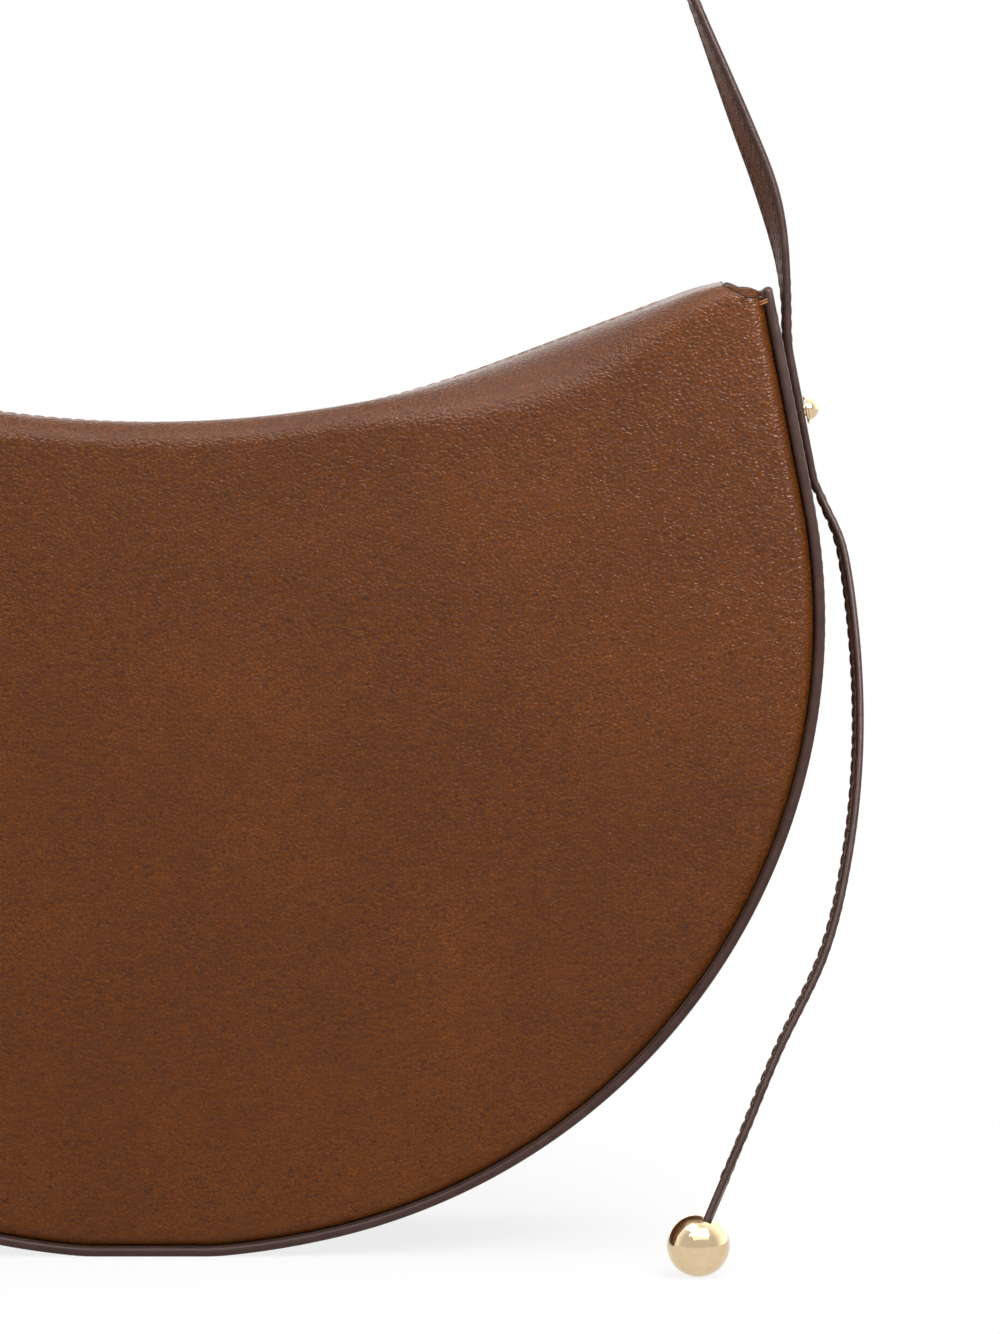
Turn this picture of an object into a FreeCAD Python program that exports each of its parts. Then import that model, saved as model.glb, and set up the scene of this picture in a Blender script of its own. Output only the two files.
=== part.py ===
"""Half moon shoulder bag: leather shell, zip top, stud-fixed strap and two ball-ended tails.

Frame: origin at the middle of the flat base, +X to the right seen from the front,
-Y towards the front, +Z up. Lengths are in millimetres, angles in degrees.
"""
import FreeCAD
import Part
import Sketcher
import os

doc = FreeCAD.newDocument("HalfMoonBag")
sheet = doc.addObject("Spreadsheet::Sheet", "dims")

SIZES = {
    # shell outline, measured on the outer face of the gusset
    "half_width": 150.0,
    "base_flat_half": 14.5,
    "bottom_radius": 178.6,
    "arc_meet_angle": 13.609,
    "side_lean": 11.2,
    "top_dip": 185.5,
    "top_radius": 256.0,
    "shoulder_lean": 20.6,
    "bag_depth": 62.0,
    # gusset: the band round the sides and the base
    "gusset_thick": 2.2,
    "gusset_width": 61.0,
    "gusset_below_tab": 1.59,
    # front and back panels with their folded top flaps and turned hems
    "seam_gap": 0.2,
    "panel_thick": 1.5,
    "panel_round": 3.5,
    "flap_width": 20.0,
    "hem_width": 10.0,
    "hem_below_top": 6.0,
    "corner_half": 127.5,
    "corner_run": 5.0,
    "corner_drop": 2.8,
    # stiffener boards and linings
    "board_thick": 1.0,
    "board_margin": 8.0,
    "lining_thick": 0.6,
    "lining_gap": 0.3,
    "lining_below_top": 4.0,
    "slip_width": 140.0,
    "slip_height": 90.0,
    "slip_base": 55.0,
    "slip_thick": 0.8,
    "slip_round": 14.0,
    # zip: two tapes with their rows of teeth, stops, slider and pull
    "tape_left_angle": 22.3,
    "tape_right_angle": 23.0,
    "tape_below_flap": 2.3,
    "tape_thick": 0.6,
    "tape_edge": 3.0,
    "tape_width": 13.0,
    "teeth_half_angle": 19.0,
    "teeth_half_slit": 0.8,
    "teeth_thick": 1.8,
    "stop_length": 3.0,
    "stop_gap": 0.3,
    "slider_angle": 17.4,
    "slider_length": 10.0,
    "slider_width": 9.0,
    "slider_plate": 1.0,
    "slider_gap": 0.3,
    "slider_post_width": 1.0,
    "slider_post_length": 4.0,
    "bridge_length": 6.4,
    "bridge_width": 2.0,
    "bridge_bar": 1.2,
    "bridge_hole": 2.0,
    "pull_length": 28.0,
    "pull_width": 8.0,
    "pull_thick": 1.2,
    "pull_bar": 1.2,
    "pull_eye_length": 4.0,
    "pull_eye_gap": 0.6,
    "pull_lift": 3.0,
    # leather tabs over the ends of the zip
    "tab_clear": 6.85,
    "tab_end": 137.0,
    "tab_width": 34.0,
    "tab_thick": 1.6,
    "tab_gap": 0.1,
    # ball studs that hold the strap on the gusset
    "stud_height": 187.0,
    "washer_dia": 8.0,
    "washer_thick": 0.5,
    "seat_gap": 0.1,
    "collar_dia": 6.6,
    "collar_thick": 0.5,
    "head_dia": 5.0,
    "post_dia": 3.4,
    "post_gap": 0.15,
    "post_short": 0.3,
    "screw_dia": 2.0,
    "screw_gap": 0.05,
    "screw_reach": 4.2,
    "screw_head_dia": 8.0,
    "screw_head_thick": 1.2,
    "screw_slot_width": 1.0,
    "screw_slot_deep": 0.5,
    # strap: a flat doubled strap, one end on each stud
    "strap_width": 10.0,
    "strap_thick": 2.2,
    "strap_down": 17.0,
    "strap_up": 12.0,
    "strap_kick_radius": 40.0,
    "strap_bend_radius": 100.0,
    "strap_lean": 21.6,
    "strap_split_angle": 12.5,
    "strap_gap": 0.3,
    "strap_top_radius": 60.0,
    # tails: the strap's free ends below the studs, each with a metal ball
    "tail_clear": 0.95,
    "tail_tilt": 19.0,
    "tail_out_angle": 19.0,
    "tail_in_angle": 24.3,
    "tail_radius": 165.0,
    "ball_dia": 13.8,
    "slot_gap": 0.15,
    "tail_stop": 1.5,
    "grub_dia": 2.4,
    "grub_gap": 0.05,
    "grub_length": 3.4,
    "grub_socket_dia": 1.2,
    "grub_socket_deep": 1.0,
    # how far a cut runs past what it cuts
    "cut_overrun": 12.0,
}
for row, (alias, size) in enumerate(SIZES.items(), start=1):
    sheet.set(f"A{row}", alias)
    sheet.set(f"B{row}", str(size))
    sheet.setAlias(f"B{row}", alias)
doc.recompute()

# Every sub-part that is written out, by its node name
sub_parts = {}
SIDES = {"right": 1, "left": -1}
FACES = {"front": 1, "back": -1}


def value(expression):
    """The number that an expression on the sheet gives."""
    return float(doc.getObject("ruler").evalExpression(expression))


def new_body(name):
    """A body whose shape is the sub-part of that name."""
    body = doc.addObject("PartDesign::Body", name)
    body.Label = name
    sub_parts[name] = body
    return body


def place(item, base, axis=None, angle=None):
    """Ties an object's place, and its turn about an axis, to expressions on the sheet."""
    if axis:
        start = FreeCAD.Rotation(FreeCAD.Vector(*axis), value(angle))
        item.Placement = FreeCAD.Placement(FreeCAD.Vector(), start)
        item.setExpression("Placement.Rotation.Angle", angle)
    for letter, expression in zip("xyz", base):
        item.setExpression(f"Placement.Base.{letter}", expression)


def sketch_on(body, name, role, offset="0"):
    """An empty sketch on one of the body's own planes, moved along the plane's normal."""
    plane = next(item for item in body.Origin.OriginFeatures if item.Role == role)
    sketch = body.newObject("Sketcher::SketchObject", name)
    sketch.AttachmentSupport = [(plane, "")]
    sketch.MapMode = "FlatFace"
    sketch.setExpression("AttachmentOffset.Base.z", offset)
    return sketch


def draw(sketch, points, arcs=()):
    """Draws one closed loop. Edge i joins point i to the next one, and arcs holds, for each
    round edge, its index, its centre and its radius. All of it is tied to the sheet."""
    arcs = {index: (centre, radius) for index, centre, radius in arcs}
    corners = [FreeCAD.Vector(value(x), value(y), 0) for x, y in points]
    first = sketch.GeometryCount
    ends = []
    for index, start in enumerate(corners):
        finish = corners[(index + 1) % len(corners)]
        if index in arcs:
            (centre_x, centre_y), radius = arcs[index]
            centre = FreeCAD.Vector(value(centre_x), value(centre_y), 0)
            outward = (start - centre) + (finish - centre)
            outward.normalize()
            sketch.addGeometry(Part.Arc(start, centre + outward * value(radius), finish))
            turns_left = (start - centre).cross(finish - centre).z > 0
            ends.append((1, 2) if turns_left else (2, 1))
        else:
            sketch.addGeometry(Part.LineSegment(start, finish))
            ends.append((1, 2))
    for index, (x, y) in enumerate(points):
        edge = first + index
        begin = ends[index][0]
        after = (index + 1) % len(points)
        sketch.addConstraint(Sketcher.Constraint(
            "Coincident", edge, ends[index][1], first + after, ends[after][0]))
        for kind, expression in (("DistanceX", x), ("DistanceY", y)):
            number = sketch.addConstraint(Sketcher.Constraint(
                kind, -1, 1, edge, begin, value(expression)))
            sketch.setExpression(f"Constraints[{number}]", expression)
        if index in arcs:
            radius = arcs[index][1]
            number = sketch.addConstraint(Sketcher.Constraint("Radius", edge, value(radius)))
            sketch.setExpression(f"Constraints[{number}]", radius)


def rectangle(low_x, high_x, low_y, high_y):
    """The corners of an upright rectangle."""
    return [(low_x, low_y), (high_x, low_y), (high_x, high_y), (low_x, high_y)]


def pad(body, sketch, length, centred=False, flipped=False):
    """Pads a sketch, one way or evenly both ways."""
    feature = body.newObject("PartDesign::Pad", f"{sketch.Name}_pad")
    feature.Profile = sketch
    feature.SideType = "Symmetric" if centred else "One side"
    feature.Reversed = flipped
    feature.setExpression("Length", length)
    return feature


def pocket(body, sketch, length, centred=False, flipped=False):
    """Cuts a sketch out of the body, and makes sure that the cut took something away."""
    doc.recompute()
    before = body.Shape.Volume
    feature = body.newObject("PartDesign::Pocket", f"{sketch.Name}_pocket")
    feature.Profile = sketch
    feature.SideType = "Symmetric" if centred else "One side"
    feature.Reversed = flipped
    feature.setExpression("Length", length)
    doc.recompute()
    if body.Shape.Volume >= before:
        raise RuntimeError(f"{sketch.Name} cuts nothing")
    return feature


def turn_axis(sketch, ends):
    """Adds a construction line to a sketch, tied to the sheet, as an axis to turn about."""
    points = [FreeCAD.Vector(value(x), value(y), 0) for x, y in ends]
    line = sketch.addGeometry(Part.LineSegment(*points), True)
    for position, (x, y) in enumerate(ends, start=1):
        for kind, expression in (("DistanceX", x), ("DistanceY", y)):
            number = sketch.addConstraint(Sketcher.Constraint(
                kind, -1, 1, line, position, value(expression)))
            sketch.setExpression(f"Constraints[{number}]", expression)


def revolve(body, sketch, axis="V_Axis"):
    """Turns a sketch round its upright axis, or round its construction line."""
    feature = body.newObject("PartDesign::Revolution", f"{sketch.Name}_turned")
    feature.Profile = sketch
    feature.ReferenceAxis = (sketch, [axis])
    feature.Angle = 360
    return feature


def groove(body, sketch):
    """Cuts a sketch out of the body, turned round its construction line."""
    doc.recompute()
    before = body.Shape.Volume
    feature = body.newObject("PartDesign::Groove", f"{sketch.Name}_groove")
    feature.Profile = sketch
    feature.ReferenceAxis = (sketch, ["Axis0"])
    feature.Angle = 360
    doc.recompute()
    if body.Shape.Volume >= before:
        raise RuntimeError(f"{sketch.Name} cuts nothing")
    return feature


def cut(name, body, tools):
    """A sub-part made of a body less some tools."""
    body.Label = f"{name}_uncut"
    del sub_parts[body.Name]
    joined = tools[0]
    if len(tools) > 1:
        joined = doc.addObject("Part::MultiFuse", f"{name}_tools")
        joined.Shapes = tools
    result = doc.addObject("Part::Cut", f"{name}_cut")
    result.Base = body
    result.Tool = joined
    result.Label = name
    sub_parts[name] = result
    return result


# A plain body that only serves to read expressions
doc.addObject("PartDesign::Body", "ruler")

# Centres of the outline's arcs: the base arc on the axis, the side arc, which runs out of the base
# arc at the angle where they meet and reaches the bag's half width, and the concave top arc
BASE_Z = "sqrt(dims.bottom_radius^2 - dims.base_flat_half^2)"
MEET_SIN = "sin(dims.arc_meet_angle)"
MEET_COS = "cos(dims.arc_meet_angle)"
SIDE_RADIUS = f"((dims.half_width - dims.bottom_radius * {MEET_SIN}) / (1 - {MEET_SIN}))"
SIDE_X = f"(dims.half_width - {SIDE_RADIUS})"
SIDE_Z = f"({BASE_Z} - (dims.bottom_radius - {SIDE_RADIUS}) * {MEET_COS})"
TOP_Z = "(dims.top_dip + dims.top_radius)"


def mirrored(points):
    """The same points on the other side of the axis, in reverse order."""
    return [(f"-({x})", y) for x, y in reversed(points)]


def lower_half(inset):
    """Right half of the outline's base and side, from the flat base to the straight side."""
    small = f"(dims.bottom_radius - ({inset}))"
    return [
        (f"sqrt({small}^2 - ({BASE_Z} - ({inset}))^2)", inset),
        (f"{small} * {MEET_SIN}", f"{BASE_Z} - {small} * {MEET_COS}"),
        (f"{SIDE_X} + ({SIDE_RADIUS} - ({inset})) * cos(dims.side_lean)",
         f"{SIDE_Z} + ({SIDE_RADIUS} - ({inset})) * sin(dims.side_lean)"),
    ]


def side_line(inset):
    """Distance of the straight side from the origin along its own normal."""
    return (f"({SIDE_X} * cos(dims.side_lean) + {SIDE_Z} * sin(dims.side_lean)"
            f" + {SIDE_RADIUS} - ({inset}))")


def side_x(inset, height):
    """Where the straight side is at a height."""
    return f"({side_line(inset)} - ({height}) * sin(dims.side_lean)) / cos(dims.side_lean)"


def shoulder_z(inset, x):
    """Height of the straight shoulder of the top at a distance from the axis."""
    return (f"({TOP_Z} - (dims.top_radius + ({inset}) - ({x}) * sin(dims.shoulder_lean))"
            f" / cos(dims.shoulder_lean))")


def top_point(inset, angle):
    """A point on the concave top arc, at an angle from the axis."""
    return (f"(dims.top_radius + ({inset})) * sin({angle})",
            f"{TOP_Z} - (dims.top_radius + ({inset})) * cos({angle})")


def outline(side_inset, top_inset):
    """The whole closed outline, with its sides and its top moved inwards."""
    side = side_line(side_inset)
    top = f"({TOP_Z} * cos(dims.shoulder_lean) - dims.top_radius - ({top_inset}))"
    spread = "cos(dims.side_lean - dims.shoulder_lean)"
    corner = (f"({side} * cos(dims.shoulder_lean) - {top} * sin(dims.side_lean)) / {spread}",
              f"({top} * cos(dims.side_lean) + {side} * sin(dims.shoulder_lean)) / {spread}")
    half = lower_half(side_inset) + [corner, top_point(top_inset, "dims.shoulder_lean")]
    base = f"dims.bottom_radius - ({side_inset})"
    flank = f"{SIDE_RADIUS} - ({side_inset})"
    arcs = [
        (0, ("0", BASE_Z), base),
        (1, (SIDE_X, SIDE_Z), flank),
        (4, ("0", TOP_Z), f"dims.top_radius + ({top_inset})"),
        (7, (f"-{SIDE_X}", SIDE_Z), flank),
        (8, ("0", BASE_Z), base),
    ]
    return half + mirrored(half), arcs


def band(outer_inset, inner_inset, height):
    """A U-shaped band along the base and sides, between two insets, open at the top."""
    outer = lower_half(outer_inset) + [(side_x(outer_inset, height), height)]
    inner = lower_half(inner_inset) + [(side_x(inner_inset, height), height)]
    points = mirrored(outer) + outer + list(reversed(inner)) + list(reversed(mirrored(inner)))
    arcs = []
    for start, inset in ((0, outer_inset), (8, inner_inset)):
        base = f"dims.bottom_radius - ({inset})"
        flank = f"{SIDE_RADIUS} - ({inset})"
        first_side = f"-{SIDE_X}" if start == 0 else SIDE_X
        second_side = SIDE_X if start == 0 else f"-{SIDE_X}"
        arcs += [
            (start + 1, (first_side, SIDE_Z), flank),
            (start + 2, ("0", BASE_Z), base),
            (start + 4, ("0", BASE_Z), base),
            (start + 5, (second_side, SIDE_Z), flank),
        ]
    return points, arcs


# Where each stud stands on the gusset, and the way out of the gusset there
STUD_X = side_x("0", "dims.stud_height")
STUD_TURN = "90 - dims.side_lean"


def at_stud(item, side):
    """Sets an object's own Z along the stud, with its origin on the gusset's outer face."""
    place(item, (f"{side} * ({STUD_X})", "0", "dims.stud_height"), (0, side, 0), STUD_TURN)


def stud_bore(name, side, diameter):
    """A drill along a stud, long enough for every layer there."""
    drill = doc.addObject("Part::Cylinder", name)
    drill.setExpression("Radius", f"({diameter}) / 2")
    drill.setExpression("Height", "2 * dims.cut_overrun")
    place(drill, (f"{side} * ({STUD_X} - dims.cut_overrun * cos(dims.side_lean))", "0",
                  "dims.stud_height - dims.cut_overrun * sin(dims.side_lean)"),
          (0, side, 0), STUD_TURN)
    return drill


BORE = "dims.post_dia + 2 * dims.post_gap"

# Levels of the leather tabs at the ends of the zip, under the flaps
TAB_TOP = "(dims.panel_thick + dims.tab_gap)"
TAB_LOW = f"({TAB_TOP} + dims.tab_thick)"

# Gusset: one thick band, edge painted, round the sides and the base, up to just under the tabs
GUSSET_TOP = f"({shoulder_z(TAB_LOW, 'dims.tab_end')} - dims.gusset_below_tab)"
gusset_band = new_body("gusset_band")
gusset_sketch = sketch_on(gusset_band, "gusset_section", "XZ_Plane")
draw(gusset_sketch, *band("0", "dims.gusset_thick", GUSSET_TOP))
pad(gusset_band, gusset_sketch, "dims.gusset_width", centred=True)
cut("gusset", gusset_band, [stud_bore(f"gusset_bore_{name}", side, BORE) for name, side in SIDES.items()])

# Gusset lining: between the turned hems of the two panels
HEM_EDGE = "(dims.bag_depth / 2 - dims.hem_width)"
gusset_lining_band = new_body("gusset_lining_band")
lining_sketch = sketch_on(gusset_lining_band, "gusset_lining_section", "XZ_Plane")
draw(lining_sketch, *band("dims.gusset_thick", "dims.gusset_thick + dims.lining_thick",
                          f"{GUSSET_TOP} - dims.lining_below_top"))
pad(gusset_lining_band, lining_sketch, f"2 * ({HEM_EDGE} - dims.lining_gap)", centred=True)
cut("gusset_lining", gusset_lining_band,
    [stud_bore(f"lining_bore_{name}", side, BORE) for name, side in SIDES.items()])

# Panels: a face whose top folds back into a flap and whose other edges turn in as a hem
PANEL_SIDE = "dims.gusset_thick + dims.seam_gap"
CORNER_Z = shoulder_z("0", "dims.corner_half")
CORNER_FOOT = f"{CORNER_Z} - dims.corner_drop"
SAME_LEVEL = 10 * Part.Precision.confusion()
for face, way in FACES.items():
    panel = new_body(f"{face}_panel")
    face_y = f"{way} * dims.bag_depth / 2"
    blank = sketch_on(panel, f"{face}_blank", "XZ_Plane", face_y)
    draw(blank, *outline(PANEL_SIDE, "0"))
    block = pad(panel, blank, "dims.flap_width", flipped=way > 0)
    doc.recompute()
    rim = []
    for number, edge in enumerate(block.Shape.Edges, start=1):
        box = edge.BoundBox
        at_face = abs(box.YMin + value(face_y)) < SAME_LEVEL
        if at_face and box.YLength < SAME_LEVEL:
            rim.append(f"Edge{number}")
    bend = panel.newObject("PartDesign::Fillet", f"{face}_bend")
    bend.Base = (block, rim)
    bend.setExpression("Radius", "dims.panel_round")
    inside = sketch_on(panel, f"{face}_inside", "XZ_Plane",
                       f"{way} * (dims.bag_depth / 2 - dims.panel_thick)")
    draw(inside, *outline(f"{PANEL_SIDE} + dims.panel_thick", "dims.panel_thick"))
    pocket(panel, inside, "dims.flap_width", flipped=way < 0)
    hem = sketch_on(panel, f"{face}_hem", "XZ_Plane", f"{way} * {HEM_EDGE}")
    draw(hem, *outline("-dims.seam_gap", "dims.hem_below_top"))
    pocket(panel, hem, "dims.flap_width", flipped=way < 0)
    notch = sketch_on(panel, f"{face}_corners", "XZ_Plane")
    for side in SIDES.values():
        draw(notch, [
            (f"{side} * dims.corner_half", CORNER_Z),
            (f"{side} * (dims.corner_half + dims.corner_run)", CORNER_FOOT),
            (f"{side} * dims.half_width", CORNER_FOOT),
            (f"{side} * dims.half_width", f"{CORNER_Z} + dims.cut_overrun"),
            (f"{side} * dims.corner_half", f"{CORNER_Z} + dims.cut_overrun"),
        ])
    pocket(panel, notch, "2 * dims.bag_depth", centred=True)

# Stiffener boards against the panels, and linings over the boards
INSIDE = f"{PANEL_SIDE} + dims.panel_thick"
BOARD_Y = "(dims.bag_depth / 2 - dims.panel_thick)"
LINING_Y = f"({BOARD_Y} - dims.board_thick)"
for face, way in FACES.items():
    board = new_body(f"{face}_board")
    board_sketch = sketch_on(board, f"{face}_board_outline", "XZ_Plane", f"{way} * {BOARD_Y}")
    draw(board_sketch, *outline(f"{INSIDE} + dims.board_margin", "dims.panel_thick + dims.board_margin"))
    pad(board, board_sketch, "dims.board_thick", flipped=way > 0)
    lining = new_body(f"{face}_lining")
    lining_face = sketch_on(lining, f"{face}_lining_outline", "XZ_Plane", f"{way} * {LINING_Y}")
    draw(lining_face, *outline(f"{INSIDE} + dims.lining_gap", "dims.panel_thick + dims.lining_below_top"))
    pad(lining, lining_face, "dims.lining_thick", flipped=way > 0)

# Slip pocket: a flat patch sewn on the back lining, with round lower corners
slip = new_body("slip_pocket")
slip_sketch = sketch_on(slip, "slip_outline", "XZ_Plane", f"-({LINING_Y} - dims.lining_thick)")
SLIP_HALF = "dims.slip_width / 2"
SLIP_TURN = f"({SLIP_HALF} - dims.slip_round)"
SLIP_RISE = "(dims.slip_base + dims.slip_round)"
slip_half = [(SLIP_TURN, "dims.slip_base"), (SLIP_HALF, SLIP_RISE),
             (SLIP_HALF, "dims.slip_base + dims.slip_height")]
draw(slip_sketch, slip_half + mirrored(slip_half), [
    (0, (SLIP_TURN, SLIP_RISE), "dims.slip_round"),
    (4, (f"-{SLIP_TURN}", SLIP_RISE), "dims.slip_round"),
])
pad(slip, slip_sketch, "dims.slip_thick")

# Zip tapes, rows of teeth and end stops, one set on each side of the mouth. Both ends of a tape
# run on under the end tabs.
TAPE_TOP = "(dims.panel_thick + dims.tape_below_flap)"
TEETH_TOP = f"({TAPE_TOP} + (dims.tape_thick - dims.teeth_thick) / 2)"
TEETH_LOW = f"({TEETH_TOP} + dims.teeth_thick)"
DEGREES = "180 / pi / dims.top_radius"
STOP_START = f"(dims.teeth_half_angle + dims.stop_gap * {DEGREES})"
STOP_END = f"({STOP_START} + dims.stop_length * {DEGREES})"


def arc_strip(top, low, start, finish):
    """A strip along the concave top between two insets and two angles."""
    points = [top_point(low, start), top_point(low, finish), top_point(top, finish), top_point(top, start)]
    arcs = [(0, ("0", TOP_Z), f"dims.top_radius + ({low})"), (2, ("0", TOP_Z), f"dims.top_radius + ({top})")]
    return points, arcs


for face, way in FACES.items():
    tape = new_body(f"zip_tape_{face}")
    tape_sketch = sketch_on(tape, f"{face}_tape_section", "XZ_Plane", f"{way} * dims.tape_edge")
    draw(tape_sketch, *arc_strip(TAPE_TOP, f"{TAPE_TOP} + dims.tape_thick",
                                 "-dims.tape_left_angle", "dims.tape_right_angle"))
    pad(tape, tape_sketch, "dims.tape_width", flipped=way < 0)
    teeth = new_body(f"zip_teeth_{face}")
    teeth_sketch = sketch_on(teeth, f"{face}_teeth_section", "XZ_Plane", f"{way} * dims.teeth_half_slit")
    draw(teeth_sketch, *arc_strip(TEETH_TOP, TEETH_LOW, "-dims.teeth_half_angle", "dims.teeth_half_angle"))
    pad(teeth, teeth_sketch, "dims.tape_edge - dims.teeth_half_slit", flipped=way < 0)
    for name, side in SIDES.items():
        stop = new_body(f"zip_stop_{face}_{name}")
        stop_sketch = sketch_on(stop, f"{face}_{name}_stop_section", "XZ_Plane",
                                f"{way} * dims.teeth_half_slit")
        draw(stop_sketch, *arc_strip(TEETH_TOP, TEETH_LOW, f"{side} * {STOP_START}", f"{side} * {STOP_END}"))
        pad(stop, stop_sketch, "dims.tape_edge - dims.teeth_half_slit", flipped=way < 0)

# Slider: two plates joined by a post, with a bridge on top for the pull. Its own origin is the
# centre of the top arc, so it is drawn at the arc's lowest point and then turned along the arc.
PLATE_LOW = f"({TEETH_TOP} - dims.slider_gap)"
PLATE_TOP = f"({PLATE_LOW} - dims.slider_plate)"
KEEL_TOP = f"({TEETH_LOW} + dims.slider_gap)"
HALF_LENGTH = "dims.slider_length / 2"


def below(inset):
    """Height, from the arc's centre, of a level at that inset."""
    return f"-(dims.top_radius + ({inset}))"


slider = new_body("zip_slider")
place(slider, ("0", "0", TOP_Z), (0, 1, 0), "dims.slider_angle")
SLIDER_LAYERS = [
    ("keel", HALF_LENGTH, KEEL_TOP, f"{KEEL_TOP} + dims.slider_plate", "dims.slider_width"),
    ("post", "dims.slider_post_length / 2", PLATE_LOW, KEEL_TOP, "dims.slider_post_width"),
    ("crown", HALF_LENGTH, PLATE_TOP, PLATE_LOW, "dims.slider_width"),
]
for layer, reach, top, low, width in SLIDER_LAYERS:
    layer_sketch = sketch_on(slider, f"slider_{layer}", "XZ_Plane")
    draw(layer_sketch, rectangle(f"-{reach}", reach, below(low), below(top)))
    pad(slider, layer_sketch, width, centred=True)
bridge = sketch_on(slider, "slider_bridge", "XZ_Plane")
BRIDGE_TOP = f"({PLATE_TOP} - dims.bridge_hole - dims.bridge_bar)"
BRIDGE_IN = "(dims.bridge_length / 2 - dims.bridge_bar)"
draw(bridge, [
    ("dims.bridge_length / 2", below(PLATE_TOP)),
    (BRIDGE_IN, below(BRIDGE_TOP)),
    (f"-{BRIDGE_IN}", below(BRIDGE_TOP)),
    ("-dims.bridge_length / 2", below(PLATE_TOP)),
])
pad(slider, bridge, "dims.bridge_width", centred=True)
eye = sketch_on(slider, "slider_eye", "XZ_Plane")
draw(eye, rectangle("-dims.bridge_hole / 2", "dims.bridge_hole / 2",
                    below(PLATE_TOP), below(f"{PLATE_TOP} - dims.bridge_hole")))
pocket(slider, eye, "2 * dims.bridge_width", centred=True)

# Pull: a flat tongue whose end bar runs through the slider's bridge. It is drawn flat, with its
# bar at its own origin, and lies along the closed zip, lifted a little by the curve of the top.
PIVOT = f"({PLATE_TOP} - dims.bridge_hole / 2)"
PIVOT_REACH = f"(dims.top_radius + {PIVOT})"
pull = new_body("zip_pull")
place(pull, (f"-{PIVOT_REACH} * sin(dims.slider_angle)", "0",
             f"{TOP_Z} - {PIVOT_REACH} * cos(dims.slider_angle)"),
      (0, 1, 0), "dims.slider_angle - dims.pull_lift")
pull_sketch = sketch_on(pull, "pull_outline", "XY_Plane")
PULL_BACK = "-dims.pull_bar / 2"
PULL_END = "(dims.pull_length - dims.pull_width / 2)"
draw(pull_sketch, [
    (PULL_BACK, "-dims.pull_width / 2"),
    (PULL_END, "-dims.pull_width / 2"),
    ("dims.pull_length", "0"),
    (PULL_END, "dims.pull_width / 2"),
    (PULL_BACK, "dims.pull_width / 2"),
], [(1, (PULL_END, "0"), "dims.pull_width / 2"), (2, (PULL_END, "0"), "dims.pull_width / 2")])
EYE_HALF = "(dims.bridge_width / 2 + dims.pull_eye_gap)"
draw(pull_sketch, rectangle("dims.pull_bar / 2", "dims.pull_bar / 2 + dims.pull_eye_length",
                            f"-{EYE_HALF}", EYE_HALF))
pad(pull, pull_sketch, "dims.pull_thick", centred=True)

# End tabs: leather under the flaps, over the straight ends of the mouth, from just past the zip's stops
TAB_START = f"((dims.top_radius + {TEETH_LOW}) * sin({STOP_END}) + dims.tab_clear)"
for name, side in SIDES.items():
    tab = new_body(f"zip_end_tab_{name}")
    tab_sketch = sketch_on(tab, f"{name}_tab_section", "XZ_Plane")
    draw(tab_sketch, [
        (f"{side} * {TAB_START}", shoulder_z(TAB_LOW, TAB_START)),
        (f"{side} * dims.tab_end", shoulder_z(TAB_LOW, "dims.tab_end")),
        (f"{side} * dims.tab_end", shoulder_z(TAB_TOP, "dims.tab_end")),
        (f"{side} * {TAB_START}", shoulder_z(TAB_TOP, TAB_START)),
    ])
    pad(tab, tab_sketch, "dims.tab_width", centred=True)

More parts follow.
